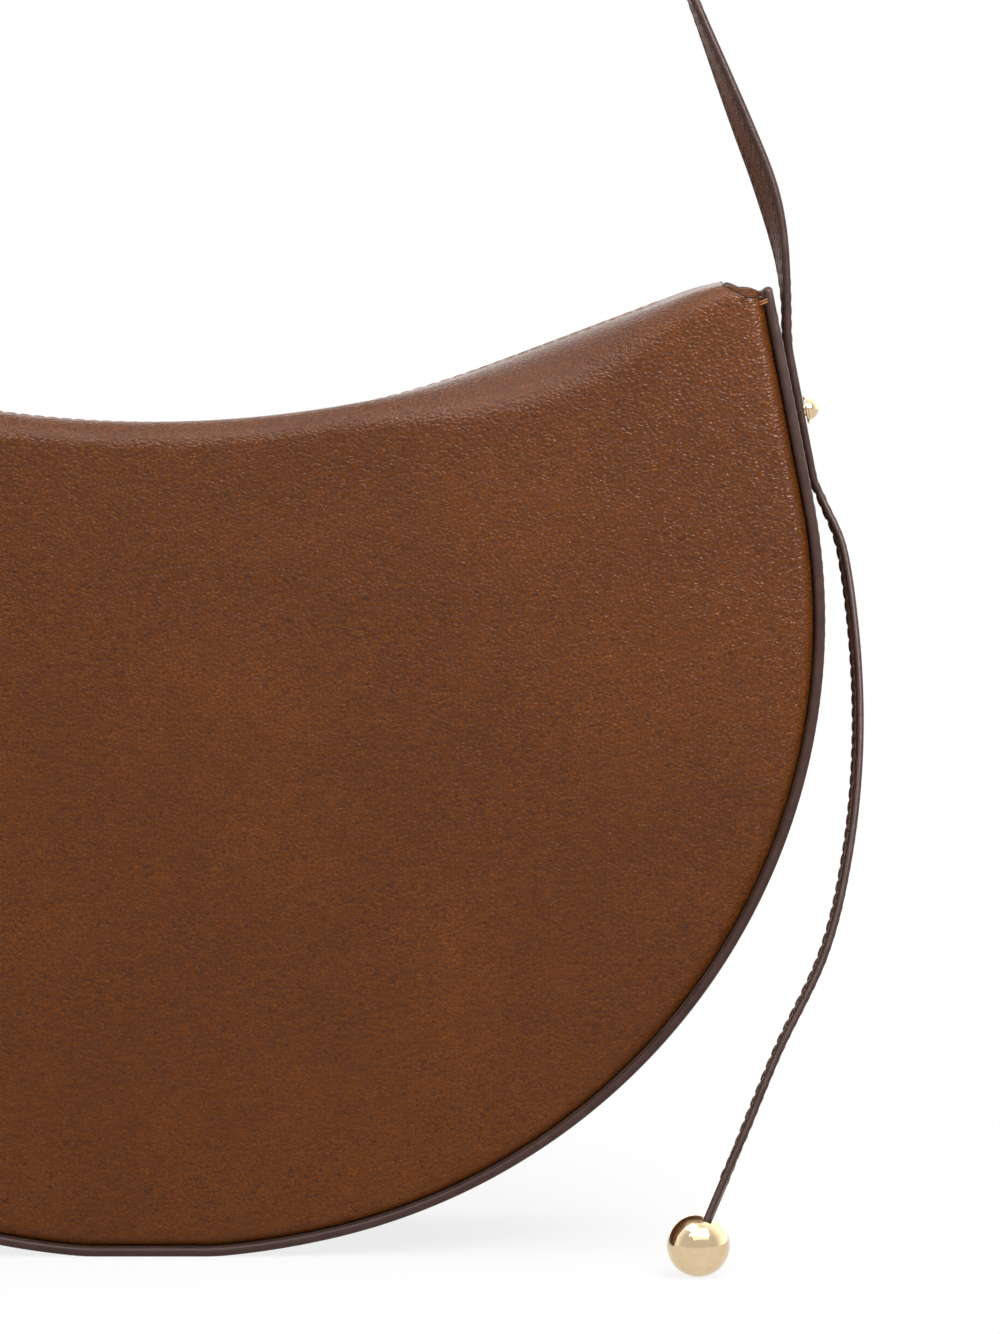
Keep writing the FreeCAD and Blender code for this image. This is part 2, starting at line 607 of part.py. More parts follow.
# Ball studs with their washers and inside screws. Z is the stud's own axis, out of the gusset.
WALL = "(dims.gusset_thick + dims.lining_thick)"
COLLAR_Z = "(dims.washer_thick + 2 * dims.seat_gap + dims.strap_thick)"
HEAD_Z = f"({COLLAR_Z} + dims.collar_thick)"
POST_END = f"-({WALL} - dims.post_short)"
BORE_RADIUS = "(dims.screw_dia / 2 + dims.screw_gap)"
BORE_TOP = f"(dims.screw_reach - {WALL} + dims.post_short)"
for name, side in SIDES.items():
    stud = new_body(f"ball_stud_{name}")
    at_stud(stud, side)
    stud_sketch = sketch_on(stud, f"{name}_stud_section", "XZ_Plane")
    draw(stud_sketch, [
        (BORE_RADIUS, POST_END),
        ("dims.post_dia / 2", POST_END),
        ("dims.post_dia / 2", COLLAR_Z),
        ("dims.collar_dia / 2", COLLAR_Z),
        ("dims.collar_dia / 2", HEAD_Z),
        ("dims.head_dia / 2", HEAD_Z),
        ("0", f"{HEAD_Z} + dims.head_dia / 2"),
        ("0", BORE_TOP),
        (BORE_RADIUS, BORE_TOP),
    ], [(5, ("0", HEAD_Z), "dims.head_dia / 2")])
    revolve(stud, stud_sketch)

    washer = new_body(f"stud_washer_{name}")
    at_stud(washer, side)
    washer_sketch = sketch_on(washer, f"{name}_washer_section", "XZ_Plane")
    draw(washer_sketch, rectangle("dims.post_dia / 2 + dims.post_gap", "dims.washer_dia / 2",
                                  "0", "dims.washer_thick"))
    revolve(washer, washer_sketch)

    screw = new_body(f"stud_screw_{name}")
    at_stud(screw, side)
    screw_sketch = sketch_on(screw, f"{name}_screw_section", "XZ_Plane")
    draw(screw_sketch, [
        ("0", f"-{WALL} - dims.screw_head_thick"),
        ("dims.screw_head_dia / 2", f"-{WALL} - dims.screw_head_thick"),
        ("dims.screw_head_dia / 2", f"-{WALL}"),
        ("dims.screw_dia / 2", f"-{WALL}"),
        ("dims.screw_dia / 2", f"dims.screw_reach - {WALL}"),
        ("0", f"dims.screw_reach - {WALL}"),
    ])
    revolve(screw, screw_sketch)
    slot = sketch_on(screw, f"{name}_screw_slot", "XY_Plane", f"-{WALL} - dims.screw_head_thick")
    draw(slot, rectangle("-dims.screw_head_dia", "dims.screw_head_dia",
                         "-dims.screw_slot_width / 2", "dims.screw_slot_width / 2"))
    pocket(screw, slot, "dims.screw_slot_deep", flipped=True)

# The strap's middle line: up the gusset past the stud, a kick to upright, then a bend inwards
OFF_GUSSET = "(dims.washer_thick + dims.seat_gap + dims.strap_thick / 2)"
LEAN_X = "cos(dims.side_lean)"
LEAN_Z = "sin(dims.side_lean)"
SEAT_X = f"({STUD_X} + {OFF_GUSSET} * {LEAN_X})"
SEAT_Z = f"(dims.stud_height + {OFF_GUSSET} * {LEAN_Z})"
KICK_X = f"({SEAT_X} - dims.strap_up * {LEAN_Z} + dims.strap_kick_radius * {LEAN_X})"
KICK_Z = f"({SEAT_Z} + dims.strap_up * {LEAN_X} + dims.strap_kick_radius * {LEAN_Z})"
BEND_X = f"({KICK_X} - dims.strap_kick_radius - dims.strap_bend_radius)"
HALF_THICK = "dims.strap_thick / 2"


def on_gusset(along, out):
    """A point of the strap where it lies on the gusset: along it from the stud, and out of its middle."""
    return (f"{SEAT_X} - ({along}) * {LEAN_Z} + ({out}) * {LEAN_X}",
            f"{SEAT_Z} + ({along}) * {LEAN_X} + ({out}) * {LEAN_Z}")


def on_bend(angle, out):
    """A point of the strap's upper bend, by its lean."""
    return (f"{BEND_X} + (dims.strap_bend_radius + ({out})) * cos({angle})",
            f"{KICK_Z} + (dims.strap_bend_radius + ({out})) * sin({angle})")


def flipped_if(side, points):
    """The points as they are for the right side, mirrored for the left."""
    return [(f"{side} * ({x})", y) for x, y in points]


# Strap ends: what lies on the gusset under each stud's collar, with a hole for the post
for name, side in SIDES.items():
    strap_end = new_body(f"strap_end_{name}_blank")
    end_sketch = sketch_on(strap_end, f"{name}_strap_end_section", "XZ_Plane")
    kick = (f"{side} * {KICK_X}", KICK_Z)
    bend_centre = (f"{side} * {BEND_X}", KICK_Z)
    draw(end_sketch, flipped_if(side, [
        on_gusset("-dims.strap_down", HALF_THICK),
        on_gusset("dims.strap_up", HALF_THICK),
        on_bend("0", HALF_THICK),
        on_bend("dims.strap_split_angle", HALF_THICK),
        on_bend("dims.strap_split_angle", f"-{HALF_THICK}"),
        on_bend("0", f"-{HALF_THICK}"),
        on_gusset("dims.strap_up", f"-{HALF_THICK}"),
        on_gusset("-dims.strap_down", f"-{HALF_THICK}"),
    ]), [
        (1, kick, f"dims.strap_kick_radius - {HALF_THICK}"),
        (2, bend_centre, f"dims.strap_bend_radius + {HALF_THICK}"),
        (4, bend_centre, f"dims.strap_bend_radius - {HALF_THICK}"),
        (5, kick, f"dims.strap_kick_radius + {HALF_THICK}"),
    ])
    pad(strap_end, end_sketch, "dims.strap_width", centred=True)
    cut(f"strap_end_{name}", strap_end, [stud_bore(f"strap_bore_{name}", side, BORE)])

# Shoulder strap: the loop above the strap ends, straight arms into a round top
strap = new_body("shoulder_strap")
strap_sketch = sketch_on(strap, "strap_section", "XZ_Plane")
STRAP_START = "(dims.strap_split_angle + dims.strap_gap / dims.strap_bend_radius * 180 / pi)"
ARM = (f"({BEND_X} * cos(dims.strap_lean) + {KICK_Z} * sin(dims.strap_lean)"
       " + dims.strap_bend_radius - dims.strap_top_radius)")
CROWN_Z = f"({ARM} / sin(dims.strap_lean))"


def on_crown(out):
    """Where an arm of the strap runs into its round top."""
    return (f"(dims.strap_top_radius + ({out})) * cos(dims.strap_lean)",
            f"{CROWN_Z} + (dims.strap_top_radius + ({out})) * sin(dims.strap_lean)")


outer_arm = [on_bend(STRAP_START, HALF_THICK), on_bend("dims.strap_lean", HALF_THICK), on_crown(HALF_THICK)]
INNER = f"-{HALF_THICK}"
inner_arm = [on_bend(STRAP_START, INNER), on_bend("dims.strap_lean", INNER), on_crown(INNER)]
draw(strap_sketch, outer_arm + mirrored(outer_arm) + list(reversed(mirrored(inner_arm)))
     + list(reversed(inner_arm)), [
    (0, (BEND_X, KICK_Z), f"dims.strap_bend_radius + {HALF_THICK}"),
    (2, ("0", CROWN_Z), f"dims.strap_top_radius + {HALF_THICK}"),
    (4, (f"-{BEND_X}", KICK_Z), f"dims.strap_bend_radius + {HALF_THICK}"),
    (6, (f"-{BEND_X}", KICK_Z), f"dims.strap_bend_radius - {HALF_THICK}"),
    (8, ("0", CROWN_Z), f"dims.strap_top_radius - {HALF_THICK}"),
    (10, (BEND_X, KICK_Z), f"dims.strap_bend_radius - {HALF_THICK}"),
])
pad(strap, strap_sketch, "dims.strap_width", centred=True)

# Tails: each bows out and runs straight into its ball, in a plane that tilts forward so that the
# ball stands on the floor in front of the bag. Each tail's own origin is its upper end.
TAIL_DROP = "(dims.strap_down + dims.tail_clear + dims.strap_width / 2 * sin(dims.tail_tilt))"
TAIL_X, TAIL_Z = on_gusset(f"-{TAIL_DROP}", "0")
BALL_RADIUS = "(dims.ball_dia / 2)"
BALL_DROP = f"(({TAIL_Z} - {BALL_RADIUS}) / cos(dims.tail_tilt))"
BOW_X = "(-dims.tail_radius * cos(dims.tail_out_angle))"
BOW_Z = "(-dims.tail_radius * sin(dims.tail_out_angle))"
RUN = (f"(({BALL_DROP} - dims.tail_radius * (sin(dims.tail_out_angle) + sin(dims.tail_in_angle)))"
       " / cos(dims.tail_in_angle))")
BALL_X = (f"({BOW_X} + dims.tail_radius * cos(dims.tail_in_angle)"
          f" - {RUN} * sin(dims.tail_in_angle))")


def on_bow(angle, out):
    """A point of the tail's bow, by its angle from the bow's widest point."""
    return (f"{BOW_X} + (dims.tail_radius + ({out})) * cos({angle})",
            f"{BOW_Z} + (dims.tail_radius + ({out})) * sin({angle})")


def by_ball(back, out):
    """A point beside the tail's straight run, from the ball's centre back along the run."""
    return (f"{BALL_X} + ({back}) * sin(dims.tail_in_angle) + ({out}) * cos(dims.tail_in_angle)",
            f"-{BALL_DROP} + ({back}) * cos(dims.tail_in_angle) - ({out}) * sin(dims.tail_in_angle)")


def from_ball(back, out):
    """The same, from the ball's own origin."""
    return (f"({back}) * sin(dims.tail_in_angle) + ({out}) * cos(dims.tail_in_angle)",
            f"({back}) * cos(dims.tail_in_angle) - ({out}) * sin(dims.tail_in_angle)")


SLOT_HALF = f"({HALF_THICK} + dims.slot_gap)"
GRUB_BACK = "(dims.tail_stop + dims.grub_dia)"
GRUB_BORE = "(dims.grub_dia / 2 + dims.grub_gap)"
GRUB_TIP = f"({HALF_THICK} + dims.grub_gap)"
GRUB_TOP = f"({GRUB_TIP} + dims.grub_length)"
GRUB_AXIS = [from_ball(GRUB_BACK, INNER), from_ball(GRUB_BACK, "-dims.ball_dia")]
for name, side in SIDES.items():
    tail = new_body(f"strap_tail_{name}")
    place(tail, (f"{side} * ({TAIL_X})", "0", TAIL_Z), (-1, 0, 0), "dims.tail_tilt")
    tail_sketch = sketch_on(tail, f"{name}_tail_section", "XZ_Plane")
    bow = (f"{side} * {BOW_X}", BOW_Z)
    draw(tail_sketch, flipped_if(side, [
        on_bow("dims.tail_out_angle", INNER),
        on_bow("-dims.tail_in_angle", INNER),
        by_ball("dims.tail_stop", INNER),
        by_ball("dims.tail_stop", HALF_THICK),
        on_bow("-dims.tail_in_angle", HALF_THICK),
        on_bow("dims.tail_out_angle", HALF_THICK),
    ]), [
        (0, bow, f"dims.tail_radius - {HALF_THICK}"),
        (4, bow, f"dims.tail_radius + {HALF_THICK}"),
    ])
    pad(tail, tail_sketch, "dims.strap_width", centred=True)

    ball = new_body(f"tail_ball_{name}")
    ball_place = (f"{side} * ({TAIL_X} + {BALL_X})", f"-{BALL_DROP} * sin(dims.tail_tilt)", BALL_RADIUS)
    place(ball, ball_place, (-1, 0, 0), "dims.tail_tilt")
    ball_sketch = sketch_on(ball, f"{name}_ball_section", "XZ_Plane")
    draw(ball_sketch, [("0", f"-{BALL_RADIUS}"), (BALL_RADIUS, "0"), ("0", BALL_RADIUS)],
         [(0, ("0", "0"), BALL_RADIUS), (1, ("0", "0"), BALL_RADIUS)])
    revolve(ball, ball_sketch)
    slot = sketch_on(ball, f"{name}_ball_slot", "XZ_Plane")
    draw(slot, flipped_if(side, [
        from_ball("dims.tail_stop - dims.slot_gap", f"-{SLOT_HALF}"),
        from_ball("dims.tail_stop - dims.slot_gap", SLOT_HALF),
        from_ball("dims.ball_dia", SLOT_HALF),
        from_ball("dims.ball_dia", f"-{SLOT_HALF}"),
    ]))
    pocket(ball, slot, "dims.strap_width + 2 * dims.slot_gap", centred=True)
    bore = sketch_on(ball, f"{name}_grub_bore", "XZ_Plane")
    draw(bore, flipped_if(side, [
        from_ball(GRUB_BACK, INNER),
        from_ball(f"{GRUB_BACK} + {GRUB_BORE}", INNER),
        from_ball(f"{GRUB_BACK} + {GRUB_BORE}", "-dims.ball_dia"),
        from_ball(GRUB_BACK, "-dims.ball_dia"),
    ]))
    turn_axis(bore, flipped_if(side, GRUB_AXIS))
    groove(ball, bore)

    grub = new_body(f"ball_screw_{name}")
    place(grub, ball_place, (-1, 0, 0), "dims.tail_tilt")
    grub_sketch = sketch_on(grub, f"{name}_grub_section", "XZ_Plane")
    draw(grub_sketch, flipped_if(side, [
        from_ball(GRUB_BACK, f"-{GRUB_TIP}"),
        from_ball(f"{GRUB_BACK} + dims.grub_dia / 2", f"-{GRUB_TIP}"),
        from_ball(f"{GRUB_BACK} + dims.grub_dia / 2", f"-{GRUB_TOP}"),
        from_ball(f"{GRUB_BACK} + dims.grub_socket_dia / 2", f"-{GRUB_TOP}"),
        from_ball(f"{GRUB_BACK} + dims.grub_socket_dia / 2", f"-({GRUB_TOP} - dims.grub_socket_deep)"),
        from_ball(GRUB_BACK, f"-({GRUB_TOP} - dims.grub_socket_deep)"),
    ]))
    turn_axis(grub_sketch, flipped_if(side, GRUB_AXIS))
    revolve(grub, grub_sketch, "Axis0")

# Everything is built: check it, then write one file for each sub-part
doc.recompute()
for item in doc.Objects:
    if "Invalid" in item.State or "Error" in item.State:
        raise RuntimeError(f"{item.Name} failed: {item.State}")
for name, item in sub_parts.items():
    if item.Shape.isNull() or not item.Shape.isValid():
        raise RuntimeError(f"{name} has no valid shape")
os.makedirs("parts", exist_ok=True)
for name, item in sub_parts.items():
    item.Shape.exportStep(os.path.join("parts", f"{name}.step"))
print(f"{len(sub_parts)} sub-parts written")
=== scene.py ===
"""A half moon shoulder bag of brown hide with gold studs and balls: its looks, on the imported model."""
from math import atan2, copysign, cos, pi, radians, sin, tan

import bpy
from mathutils import Matrix, Vector


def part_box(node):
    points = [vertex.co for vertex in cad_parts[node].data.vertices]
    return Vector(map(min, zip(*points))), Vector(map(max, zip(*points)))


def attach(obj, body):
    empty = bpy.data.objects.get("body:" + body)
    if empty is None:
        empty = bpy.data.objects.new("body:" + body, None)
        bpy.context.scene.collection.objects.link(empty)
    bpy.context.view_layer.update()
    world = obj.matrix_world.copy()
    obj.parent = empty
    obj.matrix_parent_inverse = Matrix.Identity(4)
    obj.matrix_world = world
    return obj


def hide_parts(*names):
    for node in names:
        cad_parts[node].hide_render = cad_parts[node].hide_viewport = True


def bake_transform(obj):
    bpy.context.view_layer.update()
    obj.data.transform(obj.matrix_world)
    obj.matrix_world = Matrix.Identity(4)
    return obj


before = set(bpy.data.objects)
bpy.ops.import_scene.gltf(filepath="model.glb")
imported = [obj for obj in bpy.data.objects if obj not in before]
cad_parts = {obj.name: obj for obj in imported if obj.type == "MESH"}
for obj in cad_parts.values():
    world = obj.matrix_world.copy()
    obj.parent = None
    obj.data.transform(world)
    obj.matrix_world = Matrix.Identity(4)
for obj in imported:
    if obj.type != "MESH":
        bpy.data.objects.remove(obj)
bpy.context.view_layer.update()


# Gusset: one long band of thick hide round both sides and the base of the bag. It is cut flat, its cut
# edges are painted dark and buffed round, it is sewn near both edges to the panels' turned-in rims, and
# it is bent round the bag with its two ends standing free at the corners.
MM = 0.001
GUSSET_WIDE = 61 * MM
GUSSET_THICK = 2.2 * MM
BASE_FLAT = 12.3 * MM
BASE_EASE = 50 * MM
BASE_ROUND = 178.6 * MM
SIDE_ROUND = 141.2 * MM
EASE_TURN = radians(5.49)
BASE_TURN = radians(13.609)
SIDE_LEAN = radians(11.2)
BASE_ARC = BASE_TURN - EASE_TURN
SIDE_ARC = pi / 2 + SIDE_LEAN - BASE_TURN
SIDE_STRAIGHT = 48.3 * MM
END_SLANT = 3.2 * MM
SLANT_REACH = 12 * MM
CORNER_ROUND = 1.2 * MM
SEAM_PLACE = 27.2 * MM
STITCH_PITCH = 3.1 * MM
STITCH_SLANT = 0.14
STITCH_LONG = 0.8
STITCH_FLAT = 0.6


def tint(red, green, blue):
    """A colour as the eye reads it, 0 to 255, in the shader's own linear values."""
    shares = [value / 255 for value in (red, green, blue)]
    return tuple(v / 12.92 if v < 0.04045 else ((v + 0.055) / 1.055) ** 2.4 for v in shares) + (1.0,)


def pick(piece):
    """Selects one piece alone, so that an operator acts on nothing else."""
    bpy.ops.object.select_all(action="DESELECT")
    piece.select_set(True)
    bpy.context.view_layer.objects.active = piece


def add_piece(name, primitive, **how):
    """Adds a primitive, with nothing else selected, and names it."""
    bpy.ops.object.select_all(action="DESELECT")
    primitive(**how)
    piece = bpy.context.object
    piece.name = name
    piece.data.name = name
    return piece


def settle(piece):
    """Works the piece's place, turn and size into its mesh."""
    pick(piece)
    bpy.ops.object.transform_apply(location=True, rotation=True, scale=True)


def apply_modifiers(piece):
    """Works all of a piece's modifiers into its mesh."""
    pick(piece)
    for modifier in list(piece.modifiers):
        bpy.ops.object.modifier_apply(modifier=modifier.name)


def enter(mode):
    """Goes into the active piece's mesh (EDIT) or out of it (OBJECT)."""
    bpy.ops.object.mode_set(mode=mode)


def unpick(kind):
    """Deselects the active piece's whole mesh, so that vertices, edges or faces can be selected in code."""
    enter("EDIT")
    bpy.ops.mesh.select_mode(type=kind)
    bpy.ops.mesh.select_all(action="DESELECT")
    enter("OBJECT")


def smooth(piece, angle=45):
    """Shades a piece smoothly, apart from edges sharper than an angle."""
    pick(piece)
    bpy.ops.object.shade_smooth_by_angle(angle=radians(angle))


def coat(piece, *finishes):
    """Gives a piece its finishes, in the order of its material slots."""
    for finish in finishes:
        piece.data.materials.append(finish)


def cut_flat(name, length, width, along, across):
    """A flat strip as it lies on the bench: x along it, y across it, its good side up."""
    strip = add_piece(name, bpy.ops.mesh.primitive_grid_add, size=1,
                      x_subdivisions=along, y_subdivisions=across)
    strip.scale = (length, width, 1)
    settle(strip)
    return strip


def soften(piece, width, steps, angle=30, slot=-1):
    """Sets the edges of a piece that are sharper than an angle up to be rounded."""
    edge = piece.modifiers.new("edges", "BEVEL")
    edge.limit_method = "ANGLE"
    edge.angle_limit = radians(angle)
    edge.width = width
    edge.segments = steps
    edge.material = slot


def thicken(piece, thickness, rounding, steps=3, offset=0):
    """Gives a sheet its thickness and rounds its cut edges. Its finishes are good side, back, cut edge."""
    wall = piece.modifiers.new("thickness", "SOLIDIFY")
    wall.thickness = thickness
    wall.offset = offset
    wall.material_offset = 1
    wall.material_offset_rim = 2
    apply_modifiers(piece)
    soften(piece, rounding, steps, 60, 2)
    apply_modifiers(piece)


def bend(piece, line):
    """Bends a flat piece along a line, which gives a place, the way across and the way out at any length."""
    for vertex in piece.data.vertices:
        along, across, out = vertex.co
        place, sideways, outwards = line(along)
        vertex.co = place + sideways * across + outwards * out


def run_line(x, z, heading, *runs):
    """A line in the bag's upright plane, of straight runs and arcs laid end to end: (length, turn) each."""
    def at(length):
        px, pz, turn, left = x, z, heading, length
        for index, (run, angle) in enumerate(runs):
            step = left if index == len(runs) - 1 else min(left, run)
            ahead = turn + angle * step / run
            if angle:
                px += run / angle * (sin(ahead) - sin(turn))
                pz += run / angle * (cos(turn) - cos(ahead))
            else:
                px += step * cos(turn)
                pz += step * sin(turn)
            turn, left = ahead, left - step
            if left <= 0:
                break
        return px, pz, turn
    return at


def half_round(inset):
    """The runs from the middle of the base to the gusset's end, at a depth inside the gusset's outer face."""
    return ((BASE_FLAT, 0),
            ((BASE_EASE - inset) * EASE_TURN, EASE_TURN),
            ((BASE_ROUND - inset) * BASE_ARC, BASE_ARC),
            ((SIDE_ROUND - inset) * SIDE_ARC, SIDE_ARC),
            (SIDE_STRAIGHT, 0))


def both_hands(half, up):
    """Runs a half line to both hands. Its pieces' good side is on top of the line (up 1) or below it (-1)."""
    def at(along):
        x, z, turn = half(abs(along))
        hand = 1 if along >= 0 else -1
        outwards = Vector((-hand * up * sin(turn), 0, up * cos(turn)))
        return Vector((hand * x, 0, z)), Vector((0, up, 0)), outwards
    return at


def round_the_bag(inset):
    """The line down one side, along the base and up the other, at a depth inside the gusset's outer face."""
    return both_hands(run_line(0, inset, 0, *half_round(inset)), -1)


def repeat(piece, count, step):
    """Sets a shape up to be repeated in a row."""
    row = piece.modifiers.new("row", "ARRAY")
    row.count = count
    row.use_relative_offset = False
    row.use_constant_offset = True
    row.constant_offset_displace = step


def sew(name, length, pitch, edge, face, thread, thickness=0.55 * MM):
    """Rows of stitches on a flat piece. One stitch is shaped, then repeated along, across and below."""
    rows = add_piece(name, bpy.ops.mesh.primitive_uv_sphere_add, segments=8, ring_count=6, radius=0.5)
    rows.rotation_euler = (0, pi / 2, STITCH_SLANT)
    rows.scale = (thickness * STITCH_FLAT, thickness, pitch * STITCH_LONG)
    count = int(length / pitch)
    rows.location = (-pitch * (count - 1) / 2, edge, face)
    settle(rows)
    for repeats, step in ((count, (pitch, 0, 0)), (2, (0, -2 * edge, 0)),
                          (2 if face < 0 else 1, (0, 0, -2 * face))):
        if repeats > 1 and any(step):
            repeat(rows, repeats, step)
    apply_modifiers(rows)
    coat(rows, thread)
    pick(rows)
    bpy.ops.object.shade_smooth()
    return rows


def feed(tree, node, values):
    """Gives a node's inputs, by place or by name, plain values or other nodes' outputs."""
    for socket, value in values.items():
        if isinstance(value, bpy.types.NodeSocket):
            tree.links.new(value, node.inputs[socket])
        else:
            node.inputs[socket].default_value = value


def add_node(tree, kind, **values):
    """Adds a shader node and feeds its inputs by name."""
    node = tree.nodes.new("ShaderNode" + kind)
    feed(tree, node, {name.replace("_", " "): value for name, value in values.items()})
    return node


def mix_colours(tree, share, first, second):
    """Mixes two colours by a mask."""
    mix = add_node(tree, "Mix")
    mix.data_type = "RGBA"
    feed(tree, mix, {0: share, 6: first, 7: second})
    return mix.outputs[2]


def spread(tree, value, low, high, to_low=0.0, to_high=1.0, soft=False):
    """Spreads a part of a value's reach over another reach."""
    reach = add_node(tree, "MapRange", Value=value, From_Min=low, From_Max=high,
                     To_Min=to_low, To_Max=to_high)
    reach.interpolation_type = "SMOOTHSTEP" if soft else "LINEAR"
    return reach.outputs["Result"]


def reckon(tree, operation, first, second):
    """One sum on two values."""
    work = add_node(tree, "Math")
    work.operation = operation
    feed(tree, work, {0: first, 1: second})
    return work.outputs[0]


# The hide's grain: small rounded pebbles with creases between them, finer wrinkles on top, a slow change
# of tone over the skin and a small one from pebble to pebble.
hide_grain = bpy.data.node_groups.new("hide_grain", "ShaderNodeTree")
for socket, way, kind in (("Place", "INPUT", "Vector"), ("Fineness", "INPUT", "Float"),
                          ("Height", "OUTPUT", "Float"), ("Creases", "OUTPUT", "Float"),
                          ("Tone", "OUTPUT", "Float")):
    hide_grain.interface.new_socket(socket, in_out=way, socket_type="NodeSocket" + kind)
place, fineness = hide_grain.nodes.new("NodeGroupInput").outputs[:2]
sway = add_node(hide_grain, "TexNoise", Vector=place, Scale=420.0, Detail=2.0)
shift = add_node(hide_grain, "VectorMath")
shift.operation = "MULTIPLY_ADD"
feed(hide_grain, shift, {0: sway.outputs["Color"], 1: (0.0011, 0.0011, 0.0011), 2: place})
press = add_node(hide_grain, "VectorMath")
press.operation = "MULTIPLY"
feed(hide_grain, press, {0: shift.outputs[0], 1: (0.8, 0.9, 1.25)})
spot = press.outputs[0]
pebbles = add_node(hide_grain, "TexVoronoi", Vector=spot, Scale=fineness, Randomness=1.0)
pebbles.feature = "DISTANCE_TO_EDGE"
domes = add_node(hide_grain, "TexVoronoi", Vector=spot, Scale=fineness, Randomness=1.0)
finer = reckon(hide_grain, "MULTIPLY", fineness, 1.3)
wrinkles = add_node(hide_grain, "TexNoise", Vector=spot, Scale=finer, Detail=3.0, Roughness=0.6)
blotch = add_node(hide_grain, "TexNoise", Vector=place, Scale=26.0, Detail=5.0, Roughness=0.6)
rounds = spread(hide_grain, domes.outputs["Distance"], 0.8, 0.05)
fine = spread(hide_grain, wrinkles.outputs["Fac"], 0.25, 0.75, 0.0, 0.3)
creases = spread(hide_grain, pebbles.outputs["Distance"], 0.14, 0.0, 0.0, 0.9, soft=True)
each = add_node(hide_grain, "SeparateXYZ", Vector=domes.outputs["Color"])
slow = spread(hide_grain, blotch.outputs["Fac"], 0.32, 0.68, 0.0, 0.45)
quick = reckon(hide_grain, "MULTIPLY", each.outputs["X"], 0.55)
feed(hide_grain, hide_grain.nodes.new("NodeGroupOutput"),
     {"Height": reckon(hide_grain, "ADD", rounds, fine), "Creases": creases,
      "Tone": reckon(hide_grain, "ADD", slow, quick)})


def new_finish(name):
    """An empty material, its tree, its shader and its texture places."""
    finish = bpy.data.materials.new(name)
    finish.use_nodes = True
    tree = finish.node_tree
    return finish, tree, tree.nodes["Principled BSDF"], add_node(tree, "TexCoord").outputs


def raise_relief(tree, shader, height, depth):
    """Feeds a height into the shader's normal."""
    relief = add_node(tree, "Bump", Height=height, Strength=1.0, Distance=depth)
    feed(tree, shader, {"Normal": relief.outputs["Normal"]})


def leather(name, deep, light, crease_shade, fineness, relief, gloss, matt, shine, seam=None):
    """Dyed hide with a printed grain, its creases less polished than its pebbles and darkened with painted
    shade. A strip may have a pressed line under each row of stitches: its distance from the strip's edge and
    its half width, as shares of the strip's width, and the colour of the painted shade laid along it."""
    finish, tree, shader, place = new_finish(name)
    grain = add_node(tree, "Group")
    grain.node_tree = hide_grain
    feed(tree, grain, {"Place": place["Object"], "Fineness": fineness})
    colour = mix_colours(tree, grain.outputs["Tone"], deep, light)
    # Painted shade: the creases between the pebbles are darkened in colour, not only made rougher.
    colour = mix_colours(tree, grain.outputs["Creases"], colour, crease_shade)
    height = grain.outputs["Height"]
    if seam:
        line, half_width, groove_shade = seam
        across = add_node(tree, "SeparateXYZ", Vector=place["UV"]).outputs["Y"]
        from_edge = reckon(tree, "MINIMUM", across, reckon(tree, "SUBTRACT", 1.0, across))
        off_line = reckon(tree, "ABSOLUTE", reckon(tree, "SUBTRACT", from_edge, line), 0.0)
        pressed = spread(tree, off_line, half_width, 0.0, soft=True)
        # Painted shade: the pressed line under the stitches is darkened in colour as well as sunk in the
        # relief.
        colour = mix_colours(tree, reckon(tree, "MULTIPLY", pressed, 0.75), colour, groove_shade)
        height = reckon(tree, "SUBTRACT", height, reckon(tree, "MULTIPLY", pressed, 2.5))
    rough = spread(tree, grain.outputs["Creases"], 0.0, 1.0, gloss, matt)
    feed(tree, shader, {"Base Color": colour, "Roughness": rough, "Specular IOR Level": shine})
    raise_relief(tree, shader, height, relief)
    return finish


def speckled(name, first, second, scale, gloss, matt, relief, metallic=0.0, shine=0.5):
    """A finish with a fine uneven texture: edge paint, suede, card or polished metal."""
    finish, tree, shader, place = new_finish(name)
    noise = add_node(tree, "TexNoise", Vector=place["Object"], Scale=scale, Detail=4.0, Roughness=0.6)
    speck = noise.outputs["Fac"]
    colour = mix_colours(tree, spread(tree, speck, 0.3, 0.7), first, second)
    rough = spread(tree, speck, 0.3, 0.7, gloss, matt)
    feed(tree, shader, {"Base Color": colour, "Roughness": rough, "Metallic": metallic,
                        "Specular IOR Level": shine})
    raise_relief(tree, shader, speck, relief)
    return finish


def yarn(name, deep, light):
    """Twisted thread: slanting light and dark bands across the plies, a painted highlight and painted shade
    of the twist, with a matching relief.
    """
    finish, tree, shader, place = new_finish(name)
    wave = add_node(tree, "TexWave", Vector=place["Object"], Scale=1500.0, Distortion=1.5, Detail=1.0)
    wave.bands_direction = "DIAGONAL"
    ply = wave.outputs["Fac"]
    # Painted highlight and shade: the plies' light and dark bands.
    feed(tree, shader, {"Base Color": mix_colours(tree, ply, deep, light),
                        "Roughness": spread(tree, ply, 0.0, 1.0, 0.75, 0.5)})
    raise_relief(tree, shader, ply, 0.05 * MM)
    return finish


# Gusset hide: two dye tones mixed at random, a painted shade in the creases, and a painted shade along the
# pressed stitch lines.
gusset_hide = leather("gusset_hide", tint(88, 44, 12), tint(110, 59, 20), tint(58, 26, 6),
                      1250.0, 0.10 * MM, 0.34, 0.55, 0.17, (0.054, 0.012, tint(52, 28, 13)))
flesh_side = speckled("flesh_side", tint(96, 62, 40), tint(122, 84, 56), 900.0, 0.9, 0.98, 0.12 * MM)
edge_paint = speckled("edge_paint", tint(56, 37, 32), tint(69, 47, 41),
                      350.0, 0.36, 0.50, 0.05 * MM, 0.0, 0.16)
brown_thread = yarn("brown_thread", tint(58, 32, 16), tint(104, 64, 36))

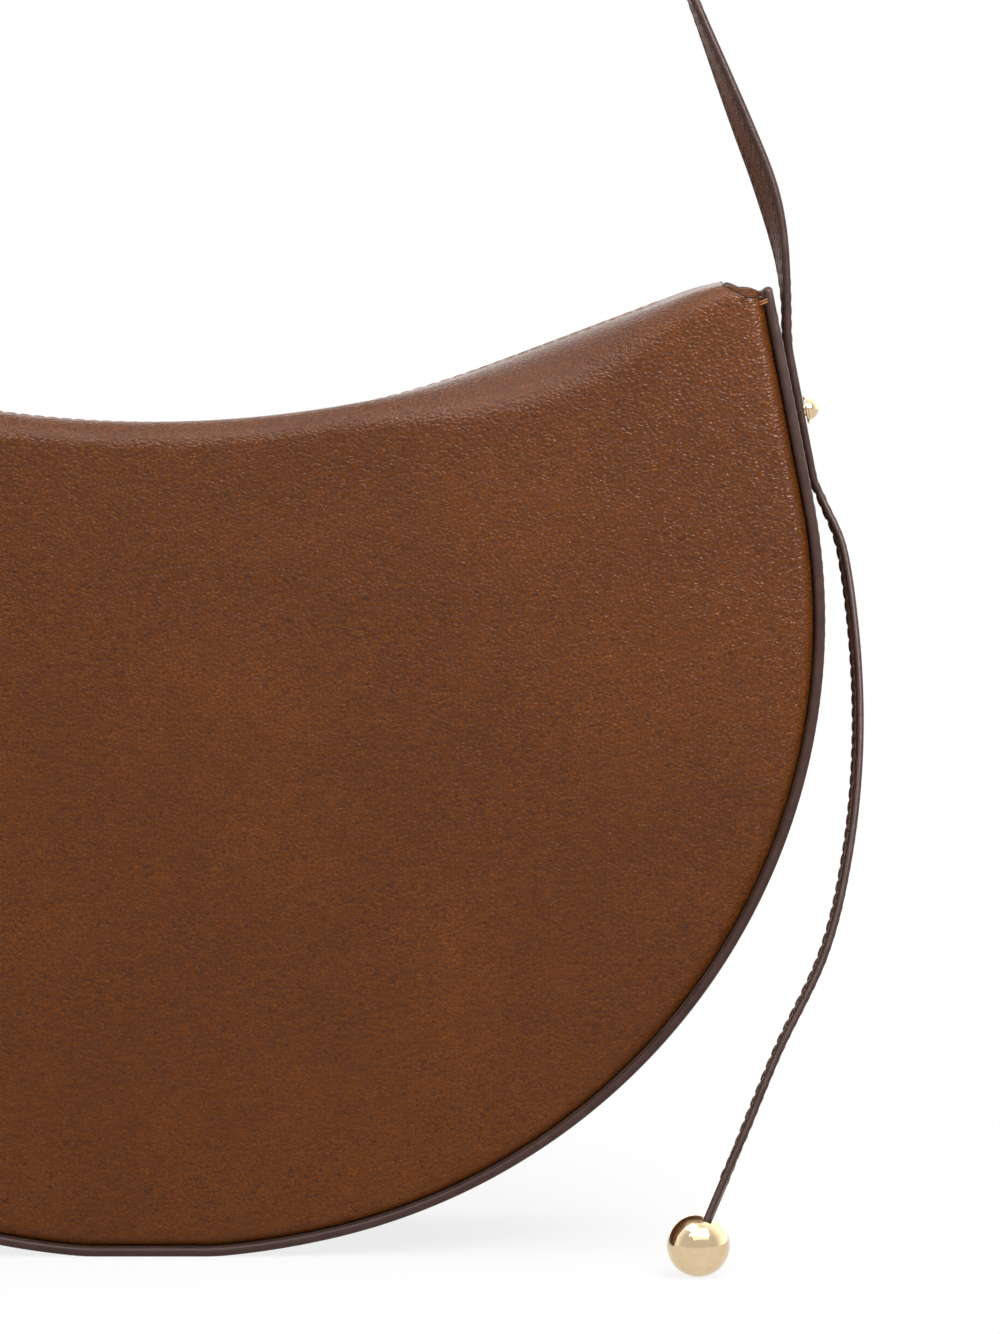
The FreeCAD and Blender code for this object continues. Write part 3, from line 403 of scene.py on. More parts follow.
middle = round_the_bag(GUSSET_THICK / 2)
gusset_length = 2 * sum(run for run, turn in half_round(GUSSET_THICK / 2))
gusset_band = cut_flat("gusset_band", gusset_length, GUSSET_WIDE, 300, 14)
unpick("VERT")
for vertex in gusset_band.data.vertices:
    at_end = abs(vertex.co.x) > gusset_length / 2 - 0.1 * MM
    vertex.select = at_end and abs(vertex.co.y) > GUSSET_WIDE / 2 - 0.1 * MM
enter("EDIT")
bpy.ops.mesh.bevel(offset=CORNER_ROUND, segments=4, affect="VERTICES")
enter("OBJECT")
for vertex in gusset_band.data.vertices:
    near_end = max(1 - (gusset_length / 2 - abs(vertex.co.x)) / SLANT_REACH, 0)
    slant = END_SLANT * near_end * (0.5 - vertex.co.y / GUSSET_WIDE)
    vertex.co.x -= copysign(slant, vertex.co.x)
coat(gusset_band, gusset_hide, flesh_side, edge_paint)
thicken(gusset_band, GUSSET_THICK, 1.0 * MM, 5)
bend(gusset_band, middle)
smooth(gusset_band, 60)
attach(gusset_band, "bag")
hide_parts("gusset")

gusset_stitches = sew("gusset_stitches", gusset_length - 8 * MM, STITCH_PITCH, SEAM_PLACE, GUSSET_THICK / 2,
                      brown_thread)
bend(gusset_stitches, middle)
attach(gusset_stitches, "bag")


# Front and back panels: two half moons of finely grained hide over boards, slightly crowned. The rim is
# turned in all round and hidden inside the gusset; along the top it rolls over in a soft bend and runs on
# as a flap towards the zip. The flap's corners are cut off aslant and the cut edges are painted.
PANEL_FACE = 31 * MM
PANEL_THICK = 1.5 * MM
PANEL_INSET = 2.4 * MM
RIM_ROUND = 3.5 * MM
PANEL_CROWN = 1.6 * MM
PANEL_HEART = Vector((0, 105 * MM))
CROWN_CENTRE = Vector((0, 150 * MM))
CROWN_ROUND = 150 * MM
CROWN_RISE = 85 * MM
CROWN_FALL = 2.5
FLAP_END = 11 * MM
HEM_END = 21 * MM
EASE_CENTRE = Vector((BASE_FLAT, BASE_EASE))
SIDE_CENTRE = Vector((8.8 * MM, 141.66 * MM))
BASE_CENTRE = Vector((0, 178.01 * MM))
TOP_CENTRE = Vector((0, 441.5 * MM))
TOP_ROUND = 256 * MM
TOP_SPREAD = radians(20.6)
CORNER_SHARE = 0.66
SHOULDER_SHARE = 0.76
OUTLINE_SHARES = (0.0, 0.03, 0.05, 0.11, 0.55, CORNER_SHARE, SHOULDER_SHARE, 1.0)
CORNER_END, CORNER_RUN = 0.665, 0.085
SHOULDER_END, SHOULDER_RUN = 0.89, 0.13
SHOULDER_RATE = 0.57
TOP_BEND = 2.5 * MM
SHOULDER_TALL = 6.5 * MM
SHOULDER_DEEP = 10.5 * MM
FRONT_RUN = 0.035
FRONT_DIP = 0.3 * MM
FRONT_LIFT = 2.0 * MM
FRONT_SLOPE = radians(-4)
FRONT_CLIMB = radians(9)
BACK_START, BACK_RUN = 0.57, 0.08
BACK_SINK = 1.4 * MM
BACK_CLIMB = radians(3.5)
CUT_START = (127.5 * MM, 216.9 * MM)
CUT_END = (132.5 * MM, 214.1 * MM)
CUT_INSIDE = -3.4 * MM
CUT_OUTSIDE = 3.2 * MM
CUT_TOP = 240 * MM
CUT_DEEP = 60 * MM
CUT_PAST = 14 * MM
MELT = 0.02 * MM
ROUND_STEPS = 400
FACE_ROWS = 22
BEND_ROWS = 14
WALL_ROWS = 8


def side_line(inset):
    """Where the straight side starts, at an inset, and which way it runs."""
    out = Vector((cos(SIDE_LEAN), sin(SIDE_LEAN)))
    return SIDE_CENTRE + out * (SIDE_ROUND - inset), Vector((-sin(SIDE_LEAN), cos(SIDE_LEAN)))


def shoulder_line(inset):
    """Where the straight shoulder starts, at a depth below the top, and which way it runs outwards."""
    down = Vector((sin(TOP_SPREAD), -cos(TOP_SPREAD)))
    return TOP_CENTRE + down * (TOP_ROUND + inset), Vector((cos(TOP_SPREAD), sin(TOP_SPREAD)))


def on_arc(centre, radius, turn):
    """A point on an arc, at a turn from straight below its centre."""
    return centre + Vector((sin(turn), -cos(turn))) * radius


def outline(share, inset, drop):
    """A point on the half moon's outline: share 0 at the middle of the base, 1 at the middle of the top."""
    part = max(index for index, limit in enumerate(OUTLINE_SHARES[:-1]) if share >= limit or index == 0)
    way = (share - OUTLINE_SHARES[part]) / (OUTLINE_SHARES[part + 1] - OUTLINE_SHARES[part])
    if part == 0:
        return Vector((BASE_FLAT * way, inset))
    if part == 1:
        return on_arc(EASE_CENTRE, BASE_EASE - inset, EASE_TURN * way)
    if part == 2:
        return on_arc(BASE_CENTRE, BASE_ROUND - inset, EASE_TURN + BASE_ARC * way)
    if part == 3:
        return on_arc(SIDE_CENTRE, SIDE_ROUND - inset, BASE_TURN + SIDE_ARC * way)
    if part == 6:
        return on_arc(TOP_CENTRE, TOP_ROUND + drop, TOP_SPREAD * (1 - way))
    side_start, side_way = side_line(inset)
    top_start, top_way = shoulder_line(drop)
    across = side_way.x * top_way.y - side_way.y * top_way.x
    gap = top_start - side_start
    corner = side_start + side_way * ((gap.x * top_way.y - gap.y * top_way.x) / across)
    return side_start.lerp(corner, way) if part == 4 else corner.lerp(top_start, way)


def ease(value):
    """Goes from 0 to 1 with level ends."""
    value = min(max(value, 0), 1)
    return value * value * (3 - 2 * value)


def off_corner(share):
    """0 at the panel's corners, 1 along the rest of the top."""
    return ease((share - CORNER_END) / CORNER_RUN)


def on_shoulder(share):
    """0 in the middle of the top, 1 on the shoulders."""
    return ease((SHOULDER_END - share) / SHOULDER_RUN)


def bend_size(share, facing):
    """The height and depth of the rim's bend: tight at the sides, round along the top, and a deep soft roll
    on the front panel's shoulders."""
    soft = on_shoulder(share) if facing < 0 else 0
    return (RIM_ROUND + (TOP_BEND + SHOULDER_TALL * soft) * off_corner(share),
            RIM_ROUND + (TOP_BEND + SHOULDER_DEEP * soft) * off_corner(share))


def flap_lie(share, facing):
    """How a flap lies along the top: the depth of its free edge below the top line, and how steeply it
    climbs to that edge. The front one dips in the middle and climbs on the shoulders."""
    if facing > 0:
        return BACK_SINK * ease((share - BACK_START) / BACK_RUN), BACK_CLIMB * off_corner(share)
    soft = on_shoulder(share)
    return ((FRONT_DIP - FRONT_LIFT * soft) * ease((share - CORNER_SHARE) / FRONT_RUN),
            (FRONT_CLIMB * soft + FRONT_SLOPE) * off_corner(share))


def crown(spot):
    """How far the face stands out at a spot: nothing at the rim, most in the middle."""
    out = min((spot - CROWN_CENTRE).length / CROWN_ROUND, 1)
    down = (spot - TOP_CENTRE).length - TOP_ROUND - RIM_ROUND
    down = min(max(down / CROWN_RISE, 0), 1)
    return PANEL_CROWN * (1 - out ** CROWN_FALL) * (1 - (1 - down) ** CROWN_FALL)


def round_place(x):
    """Where a flat grid's place, -0.5 to 0.5, comes to lie on the outline: its share and its hand."""
    share = 2 * (x + 0.5)
    return (share, 1) if share <= 1 else (2 - share, -1)


def close_rings(sheet, facing):
    """Joins a sheet of rings at its middle and its seam, and turns its good side outwards."""
    pick(sheet)
    enter("EDIT")
    bpy.ops.mesh.select_all(action="SELECT")
    bpy.ops.mesh.remove_doubles(threshold=MELT)
    if facing < 0:
        bpy.ops.mesh.flip_normals()
    enter("OBJECT")


def block(name, size=(1, 1, 1), place=(0, 0, 0)):
    """A plain block, to be shaped further or to cut with."""
    piece = add_piece(name, bpy.ops.mesh.primitive_cube_add, size=1)
    piece.scale = size
    piece.location = place
    settle(piece)
    return piece


def turn_outwards(piece):
    """Points all faces of a closed piece outwards."""
    pick(piece)
    enter("EDIT")
    bpy.ops.mesh.select_all(action="SELECT")
    bpy.ops.mesh.normals_make_consistent(inside=False)
    enter("OBJECT")


def carve(piece, blade):
    """Cuts a blade's shape out of a piece and takes the blade away."""
    cut = piece.modifiers.new("cut", "BOOLEAN")
    cut.operation = "DIFFERENCE"
    cut.object = blade
    apply_modifiers(piece)
    bpy.data.objects.remove(blade)


def corner_blade(facing, hand):
    """A blade that cuts a flap's corner off aslant, lower on the inside, and clears all beyond the corner."""
    blade = block("corner_blade")
    for vertex in blade.data.vertices:
        inner, low = vertex.co.y * facing < 0, vertex.co.z < 0
        x, z = CUT_START if vertex.co.x < 0 else CUT_END
        foot = z + (CUT_INSIDE if inner else CUT_OUTSIDE)
        vertex.co = (hand * x, 0 if inner else facing * CUT_DEEP, foot if low else CUT_TOP)
    unpick("FACE")
    cut_middle = (CUT_START[0] + CUT_END[0]) / 2
    for face in blade.data.polygons:
        face.select = all(abs(blade.data.vertices[v].co.x) > cut_middle for v in face.vertices)
    enter("EDIT")
    bpy.ops.mesh.extrude_region_move(TRANSFORM_OT_translate={"value": (hand * CUT_PAST, 0, 0)})
    enter("OBJECT")
    turn_outwards(blade)
    return blade


def mould_panel(name, facing, finish):
    """A panel pressed over its form from one flat sheet: the face in rings, the bend, then the turned-in
    rim. Its flap's corners are cut and the cuts are painted and softened."""
    rows = FACE_ROWS + BEND_ROWS + WALL_ROWS
    panel = cut_flat(name, 1, 1, ROUND_STEPS, rows)
    for vertex in panel.data.vertices:
        share, hand = round_place(vertex.co.x)
        row = (vertex.co.y + 0.5) * rows
        tall, deep = bend_size(share, facing)
        rim_end = FLAP_END if share > CORNER_SHARE - 0.001 else HEM_END
        edge_drop, slope = flap_lie(share, facing)
        last_turn = atan2(tall, deep * tan(slope))
        bend_end = PANEL_FACE - deep * (1 - cos(last_turn))
        climb = (bend_end - rim_end) * tan(slope)
        edge = outline(share, PANEL_INSET + tall, tall * sin(last_turn) + climb + edge_drop)
        if row <= FACE_ROWS:
            spot = PANEL_HEART.lerp(edge, (row / FACE_ROWS) ** 0.8)
            depth = PANEL_FACE + crown(spot)
        elif row <= FACE_ROWS + BEND_ROWS:
            turn = last_turn * (row - FACE_ROWS) / BEND_ROWS
            spot = outline(share, PANEL_INSET + tall * (1 - sin(turn)),
                           tall * (sin(last_turn) - sin(turn)) + climb + edge_drop)
            depth = PANEL_FACE - deep * (1 - cos(turn)) + crown(edge) * (1 - ease(turn / last_turn))
        else:
            back = (row - FACE_ROWS - BEND_ROWS) / WALL_ROWS
            spot = outline(share, PANEL_INSET, climb * (1 - back) + edge_drop)
            depth = bend_end - (bend_end - rim_end) * back
        vertex.co = (hand * spot.x, facing * depth, spot.y)
    close_rings(panel, facing)
    finishes = (finish, flesh_side, finish, shaded_cut_paint)
    face_slot, paint_slot = 0, 3
    coat(panel, *finishes)
    thicken(panel, PANEL_THICK, 0.45 * MM, 2, -1)
    for hand in (1, -1):
        blade = corner_blade(facing, hand)
        coat(blade, *finishes)
        for face in blade.data.polygons:
            face.material_index = paint_slot
        carve(panel, blade)
    plain, painted = ({key for face in panel.data.polygons if face.material_index == slot
                       for key in face.edge_keys} for slot in (face_slot, paint_slot))
    unpick("EDGE")
    for edge in panel.data.edges:
        edge.select = edge.key in painted and edge.key in plain
    enter("EDIT")
    bpy.ops.mesh.bevel(offset=0.4 * MM, segments=2, material=paint_slot)
    enter("OBJECT")
    smooth(panel, 40)
    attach(panel, "bag")
    return panel


# Panel and tab hide: two dye tones mixed at random, and a painted shade in the creases.
panel_dyes_and_crease_shade = tint(82, 40, 8), tint(108, 58, 16), tint(54, 24, 4)
# Painted shade: the flap's corner cuts carry the edge paint in a darker, duller copy, so that their up-facing
# cut faces read dark.
shaded_cut_paint = speckled("shaded_cut_paint", tint(36, 20, 14), tint(50, 30, 22), 350.0, 0.6, 0.75, 0.05 * MM, 0.0, 0.05)
panel_hide = leather("panel_hide", *panel_dyes_and_crease_shade, 1300.0, 0.12 * MM, 0.27, 0.50, 0.14)
front_face = mould_panel("front_face", -1, panel_hide)
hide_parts("front_panel")
back_face = mould_panel("back_face", 1, panel_hide)
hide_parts("back_panel")


def along_the_top(drop):
    """The line along the bag's top, at a depth below it: a long arc, then straight shoulders."""
    return both_hands(run_line(0, TOP_CENTRE.y - TOP_ROUND - drop, 0,
                               ((TOP_ROUND + drop) * TOP_SPREAD, TOP_SPREAD), (50 * MM, 0)), 1)


flap_seam = 1.6 * MM
flap_thread = yarn("flap_thread", tint(112, 72, 48), tint(150, 108, 80))
for half, facing in (("front", -1), ("back", 1)):
    flap_stitches = sew("flap_stitches_" + half, 236 * MM, STITCH_PITCH, 0, 0, flap_thread, 0.6 * MM)
    for vertex in flap_stitches.data.vertices:
        along = abs(vertex.co.x) / TOP_ROUND
        if along < TOP_SPREAD:
            share = 1 - (1 - SHOULDER_SHARE) * along / TOP_SPREAD
        else:
            share = SHOULDER_SHARE - SHOULDER_RATE * (along - TOP_SPREAD)
        edge_drop, slope = flap_lie(share, facing)
        vertex.co.y += facing * (FLAP_END + flap_seam)
        vertex.co.z -= edge_drop + flap_seam * tan(slope)
    bend(flap_stitches, along_the_top(0))
    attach(flap_stitches, "bag")


# Stiffener boards: grey-brown card cut to the panels' shape and glued behind them. They stay as the
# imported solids, with a card finish.
card = speckled("card", tint(142, 124, 100), tint(168, 150, 124), 700.0, 0.85, 0.95, 0.06 * MM)


def dress(finish, *names):
    """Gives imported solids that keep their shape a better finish."""
    for name in names:
        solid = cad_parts[name]
        solid.data.materials.clear()
        solid.data.materials.append(finish)


dress(card, "front_board", "back_board")


# Linings: fine woven cotton, one piece on each panel and a strip on the gusset, glued down and a little
# wavy. They show when one looks in through the open zip.
LINING_THICK = 0.5 * MM
LINING_INSET = 4.6 * MM
LINING_DROP = 7.4 * MM
LINING_FACE = 28.2 * MM
LINING_WAVE = 0.12 * MM


def cloth(name, deep, light, threads, relief):
    """Plain weave: crossed threads along all three ways, so that it shows on a face of any turn."""
    finish, tree, shader, place = new_finish(name)
    sets = []
    for way in ("X", "Y", "Z"):
        wave = add_node(tree, "TexWave", Vector=place["Object"], Scale=threads, Distortion=0.6, Detail=1.0)
        wave.bands_direction = way
        sets.append(wave.outputs["Fac"])
    weave = reckon(tree, "MULTIPLY", reckon(tree, "ADD", sets[0], sets[1]), sets[2])
    slub = add_node(tree, "TexNoise", Vector=place["Object"], Scale=60.0, Detail=4.0)
    uneven = spread(tree, slub.outputs["Fac"], 0.25, 0.75)
    shade = reckon(tree, "MULTIPLY", uneven, spread(tree, weave, 0.0, 2.0, 0.4))
    feed(tree, shader, {"Base Color": mix_colours(tree, shade, deep, light),
                        "Roughness": spread(tree, weave, 0.0, 2.0, 0.95, 0.8)})
    raise_relief(tree, shader, weave, relief)
    return finish


lining_cotton = cloth("lining_cotton", tint(150, 126, 96), tint(196, 172, 138), 330.0, 0.10 * MM)


def lay_lining(name, facing, node):
    """A lining cut to the panel's outline and smoothed onto it, with slight waves."""
    sheet = cut_flat(name, 1, 1, 200, 16)
    for vertex in sheet.data.vertices:
        share, hand = round_place(vertex.co.x)
        spot = PANEL_HEART.lerp(outline(share, LINING_INSET, LINING_DROP), vertex.co.y + 0.5)
        wave = LINING_WAVE * sin(spot.x * 95 + 1.3 * facing) * sin(spot.y * 70 + 0.4)
        vertex.co = (hand * spot.x, facing * (LINING_FACE + wave), spot.y)
    close_rings(sheet, facing)
    coat(sheet, lining_cotton, lining_cotton, lining_cotton)
    thicken(sheet, LINING_THICK, 0.1 * MM, 1)
    smooth(sheet)
    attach(sheet, "bag")
    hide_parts(node)


lay_lining("front_lining_cloth", -1, "front_lining")
lay_lining("back_lining_cloth", 1, "back_lining")

side_lining = cut_flat("gusset_lining_cloth", gusset_length - 10 * MM, 41.4 * MM, 260, 6)
coat(side_lining, lining_cotton, lining_cotton, lining_cotton)
thicken(side_lining, LINING_THICK, 0.1 * MM, 1)
bend(side_lining, round_the_bag(GUSSET_THICK + 0.35 * MM))
smooth(side_lining)
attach(side_lining, "bag")
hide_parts("gusset_lining")


# Slip pocket: a patch of the lining cotton with rounded lower corners, hemmed along its mouth and sewn
# flat onto the back lining along its other edges.
POCKET_WIDE = 140 * MM
POCKET_HIGH = 90 * MM
POCKET_THICK = 0.7 * MM
POCKET_PLACE = Vector((0, 27.5 * MM, 100 * MM))
POCKET_CORNER = 14 * MM
POCKET_SEAM = 2 * MM
SEAM_ROUND = POCKET_CORNER - POCKET_SEAM
pale_thread = yarn("pale_thread", tint(150, 128, 96), tint(206, 186, 150))
pocket = add_piece("slip_pocket_cloth", bpy.ops.mesh.primitive_plane_add, size=1)
pocket.scale = (POCKET_WIDE, POCKET_HIGH, 1)
pocket.rotation_euler = (pi / 2, 0, 0)
pocket.location = POCKET_PLACE
settle(pocket)
unpick("VERT")
for vertex in pocket.data.vertices:
    vertex.select = vertex.co.z < POCKET_PLACE.z
enter("EDIT")
bpy.ops.mesh.bevel(offset=POCKET_CORNER, segments=8, affect="VERTICES")
bpy.ops.mesh.select_all(action="SELECT")
bpy.ops.mesh.inset(thickness=6 * MM, depth=0)
bpy.ops.mesh.select_all(action="DESELECT")
enter("OBJECT")
coat(pocket, lining_cotton, lining_cotton, lining_cotton)
thicken(pocket, POCKET_THICK, 0.15 * MM, 2)
smooth(pocket)
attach(pocket, "bag")
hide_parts("slip_pocket")

half_seam = run_line(0, POCKET_PLACE.z - POCKET_HIGH / 2 + POCKET_SEAM, 0,
                     (POCKET_WIDE / 2 - SEAM_ROUND, 0), (SEAM_ROUND * pi / 2, pi / 2),
                     (POCKET_HIGH - POCKET_CORNER - POCKET_SEAM, 0))


def round_the_pocket(along):
    """Down one side of the pocket, along its bottom and up the other, a little inside its edge."""
    x, z, turn = half_seam(abs(along))
    hand = 1 if along >= 0 else -1
    way = Vector((hand * cos(turn), 0, sin(turn))) * hand
    place = Vector((hand * (x - POCKET_SEAM), POCKET_PLACE.y - POCKET_THICK / 2, z))
    return place, way.cross(Vector((0, 1, 0))), Vector((0, -1, 0))


pocket_stitches = sew("pocket_stitches", 300 * MM, 2.6 * MM, 0, 0, pale_thread, 0.4 * MM)
bend(pocket_stitches, round_the_pocket)
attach(pocket_stitches, "bag")


# Zip: two woven tapes under the flaps, each with a row of cast teeth that mesh along the middle, and a
# square stop clamped at each end of each row.
TAPE_LONG = 205.6 * MM
TAPE_WIDE = 10.2 * MM
TAPE_SHIFT = 1.6 * MM
TAPE_OUT = 8.1 * MM
TAPE_DROP = 4.5 * MM
TAPE_CLOSE = 2.5 * MM
TEETH_DROP = 4.1 * MM
TOOTH_SIZE = (1.2 * MM, 2.0 * MM, 1.8 * MM)
TOOTH_OUT = 2.4 * MM
TOOTH_NECK = 0.7 * MM
TOOTH_TIP = 1.1 * MM
TOOTH_PITCH = 2.2 * MM
TOOTH_COUNT = 78


def rise(value, start, run):
    """A share that eases from 0 at a start to 1 at the end of a run, both in millimetres."""
    return ease((value - start * MM) / (run * MM))


gold = speckled("polished_gold", tint(213, 188, 150), tint(222, 199, 163), 240.0, 0.06, 0.12, 0.004 * MM, 1.0)
tape_weave = cloth("tape_weave", tint(52, 32, 22), tint(84, 54, 38), 420.0, 0.12 * MM)
for half, side in (("front", -1), ("back", 1)):
    tape = cut_flat("zip_tape_woven_" + half, TAPE_LONG, TAPE_WIDE, 110, 4)
    tape.location = (TAPE_SHIFT, side * TAPE_OUT, 0)
    settle(tape)
    for vertex in tape.data.vertices:
        past_stop = rise(abs(vertex.co.x), 89, 2)
        inwards = (TAPE_OUT + TAPE_WIDE / 2 - abs(vertex.co.y)) / TAPE_WIDE
        vertex.co.y -= side * TAPE_CLOSE * past_stop * inwards
    coat(tape, tape_weave, tape_weave, tape_weave)
    thicken(tape, 0.6 * MM, 0.15 * MM, 1)
    bend(tape, along_the_top(TAPE_DROP))
    smooth(tape)
    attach(tape, "zip_" + half)
    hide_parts("zip_tape_" + half)

    teeth = block("zip_teeth_cast_" + half, TOOTH_SIZE, (0, side * TOOTH_OUT, 0))
    unpick("FACE")
    for face in teeth.data.polygons:
        face.select = face.normal.y * side < -0.9
    enter("EDIT")
    bpy.ops.mesh.extrude_region_move(TRANSFORM_OT_translate={"value": (0, -side * TOOTH_NECK, 0)})
    bpy.ops.transform.resize(value=(0.6, 1, 0.8), center_override=(0, 0, 0))
    bpy.ops.mesh.extrude_region_move(TRANSFORM_OT_translate={"value": (0, -side * TOOTH_TIP, 0)})
    bpy.ops.transform.resize(value=(1.35, 1, 1), center_override=(0, 0, 0))
    enter("OBJECT")
    soften(teeth, 0.12 * MM, 1)
    repeat(teeth, TOOTH_COUNT, (TOOTH_PITCH, 0, 0))
    apply_modifiers(teeth)
    start = -TOOTH_PITCH * (TOOTH_COUNT - 1) / 2 + side * TOOTH_PITCH / 4
    teeth.data.transform(Matrix.Translation((start, 0, 0)))
    coat(teeth, gold)
    bend(teeth, along_the_top(TEETH_DROP))
    smooth(teeth, 30)
    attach(teeth, "zip_" + half)
    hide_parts("zip_teeth_" + half)
dress(gold, "zip_stop_front_left", "zip_stop_front_right", "zip_stop_back_left", "zip_stop_back_right")


# Slider: a cast body that straddles the teeth, an upper and a lower plate joined by a post at its wide
# end, with a bridge arched over the upper plate for the pull.
SLIDER_ALONG = -TOP_ROUND * radians(17.4)
SLIDER_LONG = 10.5 * MM
SLIDER_WIDE = 9 * MM
SLIDER_CORNER = 1.8 * MM
SLIDER_TAPER = 0.72
BRIDGE_FOOT = -2.2 * MM
BRIDGE_END = 3.5 * MM


def plate(name, length, width, thickness, height, corner, tail):
    """A cast plate with rounded corners, narrower at its tail end, its upper and lower edges softened."""
    piece = block(name, (length, width, thickness), (0, 0, height))
    for vertex in piece.data.vertices:
        if vertex.co.x > 0:
            vertex.co.y *= tail
    unpick("EDGE")
    for edge in piece.data.edges:
        ends = [piece.data.vertices[index].co for index in edge.vertices]
        edge.select = abs(ends[0].z - ends[1].z) > thickness / 2
    enter("EDIT")
    bpy.ops.mesh.bevel(offset=corner, segments=5)
    enter("OBJECT")
    soften(piece, thickness * 0.28, 3, 50)
    apply_modifiers(piece)
    return piece


upper = plate("zip_slider_cast", SLIDER_LONG, SLIDER_WIDE, 1.1 * MM, -2.4 * MM, SLIDER_CORNER, SLIDER_TAPER)
lower = plate("slider_lower", SLIDER_LONG, SLIDER_WIDE, 1.0 * MM, -5.8 * MM, SLIDER_CORNER, SLIDER_TAPER)
post = plate("slider_post", 2.6 * MM, 1.6 * MM, 3.4 * MM, -4.1 * MM, 0.5 * MM, 0.4)
post.data.transform(Matrix.Translation((-3.6 * MM, 0, 0)))
bridge = add_piece("slider_bridge", bpy.ops.mesh.primitive_plane_add, size=1)
bridge.scale = (1.1 * MM, 2.2 * MM, 1)
bridge.location = (-3.0 * MM, 0, BRIDGE_FOOT)
settle(bridge)
enter("EDIT")
bpy.ops.mesh.select_all(action="SELECT")
bpy.ops.mesh.spin(steps=14, angle=pi, center=(0, 0, BRIDGE_FOOT), axis=(0, 1, 0))
enter("OBJECT")
turn_outwards(bridge)
for vertex in bridge.data.vertices:
    vertex.co.x = min(max(vertex.co.x, -BRIDGE_END), BRIDGE_END)
pick(upper)
for piece in (lower, post, bridge):
    piece.select_set(True)
bpy.ops.object.join()
slider = bpy.context.object
coat(slider, gold)
place, sideways, outwards = along_the_top(0)(SLIDER_ALONG)
turn = Matrix((sideways.cross(outwards), sideways, outwards)).transposed().to_4x4()
slider.data.transform(Matrix.Translation(place) @ turn)
smooth(slider, 35)
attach(slider, "slider")
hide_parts("zip_slider")


# Pull: a flat cast tongue that hangs on the slider's bridge by a slot at its wide end, with a sunk field
# on its upper side.
PULL_THICK = 1.2 * MM
pull = plate("zip_pull_cast", 28 * MM, 8 * MM, PULL_THICK, 0, 2.4 * MM, 0.8)
unpick("FACE")
for face in pull.data.polygons:
    face.select = face.normal.z > 0.99
enter("EDIT")
bpy.ops.mesh.inset(thickness=1.0 * MM, depth=-0.2 * MM)
enter("OBJECT")
carve(pull, block("slot_blade", (2.4 * MM, 3.2 * MM, 4 * MM), (-11.2 * MM, 0, 0)))
coat(pull, gold)
pull_low, pull_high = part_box("zip_pull")
pull_lean = atan2(pull_high[2] - pull_low[2] - PULL_THICK, pull_high[0] - pull_low[0])
pull.data.transform(Matrix.Translation([(low + high) / 2 for low, high in zip(pull_low, pull_high)])
                    @ Matrix.Rotation(pull_lean, 4, "Y"))
smooth(pull, 35)
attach(pull, "pull")
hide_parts("zip_pull")


# End tabs: a strip of the panel hide across each end of the zip, sewn to the tapes under the flaps. It
# comes out at the cut corner, dips, and is tacked to the gusset's end with an orange-brown thread.
TAB_WIDE = 34 * MM
TAB_THICK = 1.6 * MM
TAB_LONG = 47.5 * MM
TAB_START = 95 * MM
TAB_DROP = 2.4 * MM
TAB_BEND = radians(22)
TACK_LONG = 4.6 * MM
TACK_ROUND = 1.45 * MM
TACK_OUT = 1.3 * MM
TACK_PLACE = (136.2 * MM, 29.3 * MM)
tab_hide = leather("tab_hide", *panel_dyes_and_crease_shade, 1300.0, 0.12 * MM, 0.55, 0.70, 0.04)
tan_thread = yarn("tan_thread", tint(122, 62, 20), tint(168, 92, 38))


def along_the_tab(hand):
    """Up the shoulder under the flap, over a small bend, level to the gusset's end and down inside it."""
    start, way = shoulder_line(TAB_DROP)
    low = start + way * ((TAB_START - start.x) / way.x)
    rest = run_line(low.x, low.y, TOP_SPREAD, (32 * MM, 0), (1.8 * MM, TAB_BEND),
                    (4.2 * MM, -TOP_SPREAD - 2 * TAB_BEND), (2.4 * MM, TAB_BEND), (1.6 * MM, 0),
                    (2 * MM, -radians(80)), (4 * MM, 0))

    def at(along):
        x, z, turn = rest(along + TAB_LONG / 2)
        outwards = Vector((-hand * sin(turn), 0, cos(turn)))
        return Vector((hand * x, 0, z)), Vector((0, hand, 0)), outwards
    return at


for side, hand in (("right", 1), ("left", -1)):
    tab = cut_flat("end_tab_" + side, TAB_LONG, TAB_WIDE, 40, 10)
    coat(tab, tab_hide, flesh_side, tab_hide)
    for vertex in tab.data.vertices:
        vertex.co.y *= 0.61 + 1.06 * rise(vertex.co.x, 2, 10)
    thicken(tab, TAB_THICK, 0.6 * MM)
    for vertex in tab.data.vertices:
        along, across, height = vertex.co
        back_dip = 1.6 * MM * rise(hand * across, 5, 8) * rise(along, -12, 8)
        hump = 0.6 * MM - 3.9 * MM * rise(abs(across), 12, 10) - 0.3 * MM * rise(hand * across, -11, 6)
        vertex.co.z = height - back_dip + hump * rise(along, 9, 4)
    bend(tab, along_the_tab(hand))
    smooth(tab, 50)
    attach(tab, "bag")
    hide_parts("zip_end_tab_" + side)
    for facing in (-1, 1):
        tack = sew("corner_tack_" + side + ("_front" if facing < 0 else "_back"), TACK_LONG, TACK_LONG,
                   0.3 * MM, 0, tan_thread, 0.45 * MM)
        height = (212.9 if facing < 0 else 210.7) * MM
        for vertex in tack.data.vertices:
            turn = vertex.co.x / TACK_ROUND
            out = TACK_OUT + vertex.co.z
            vertex.co = (hand * (TACK_PLACE[0] + out * sin(turn)),
                         facing * (TACK_PLACE[1] + out * cos(turn)),
                         height + vertex.co.y + 0.2 * vertex.co.x)
        turn_outwards(tack)
        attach(tack, "bag")


# Studs: on each side a turned gold stud, a round collar with a domed head, comes through the strap and
# the gusset and is held by a washer between them and a slotted screw inside the bag.
STUD_ROOT = Vector((143.763 * MM, 0, 187 * MM))
HEAD_ROUND = 2.5 * MM
HEAD_SEAT = 3.42 * MM


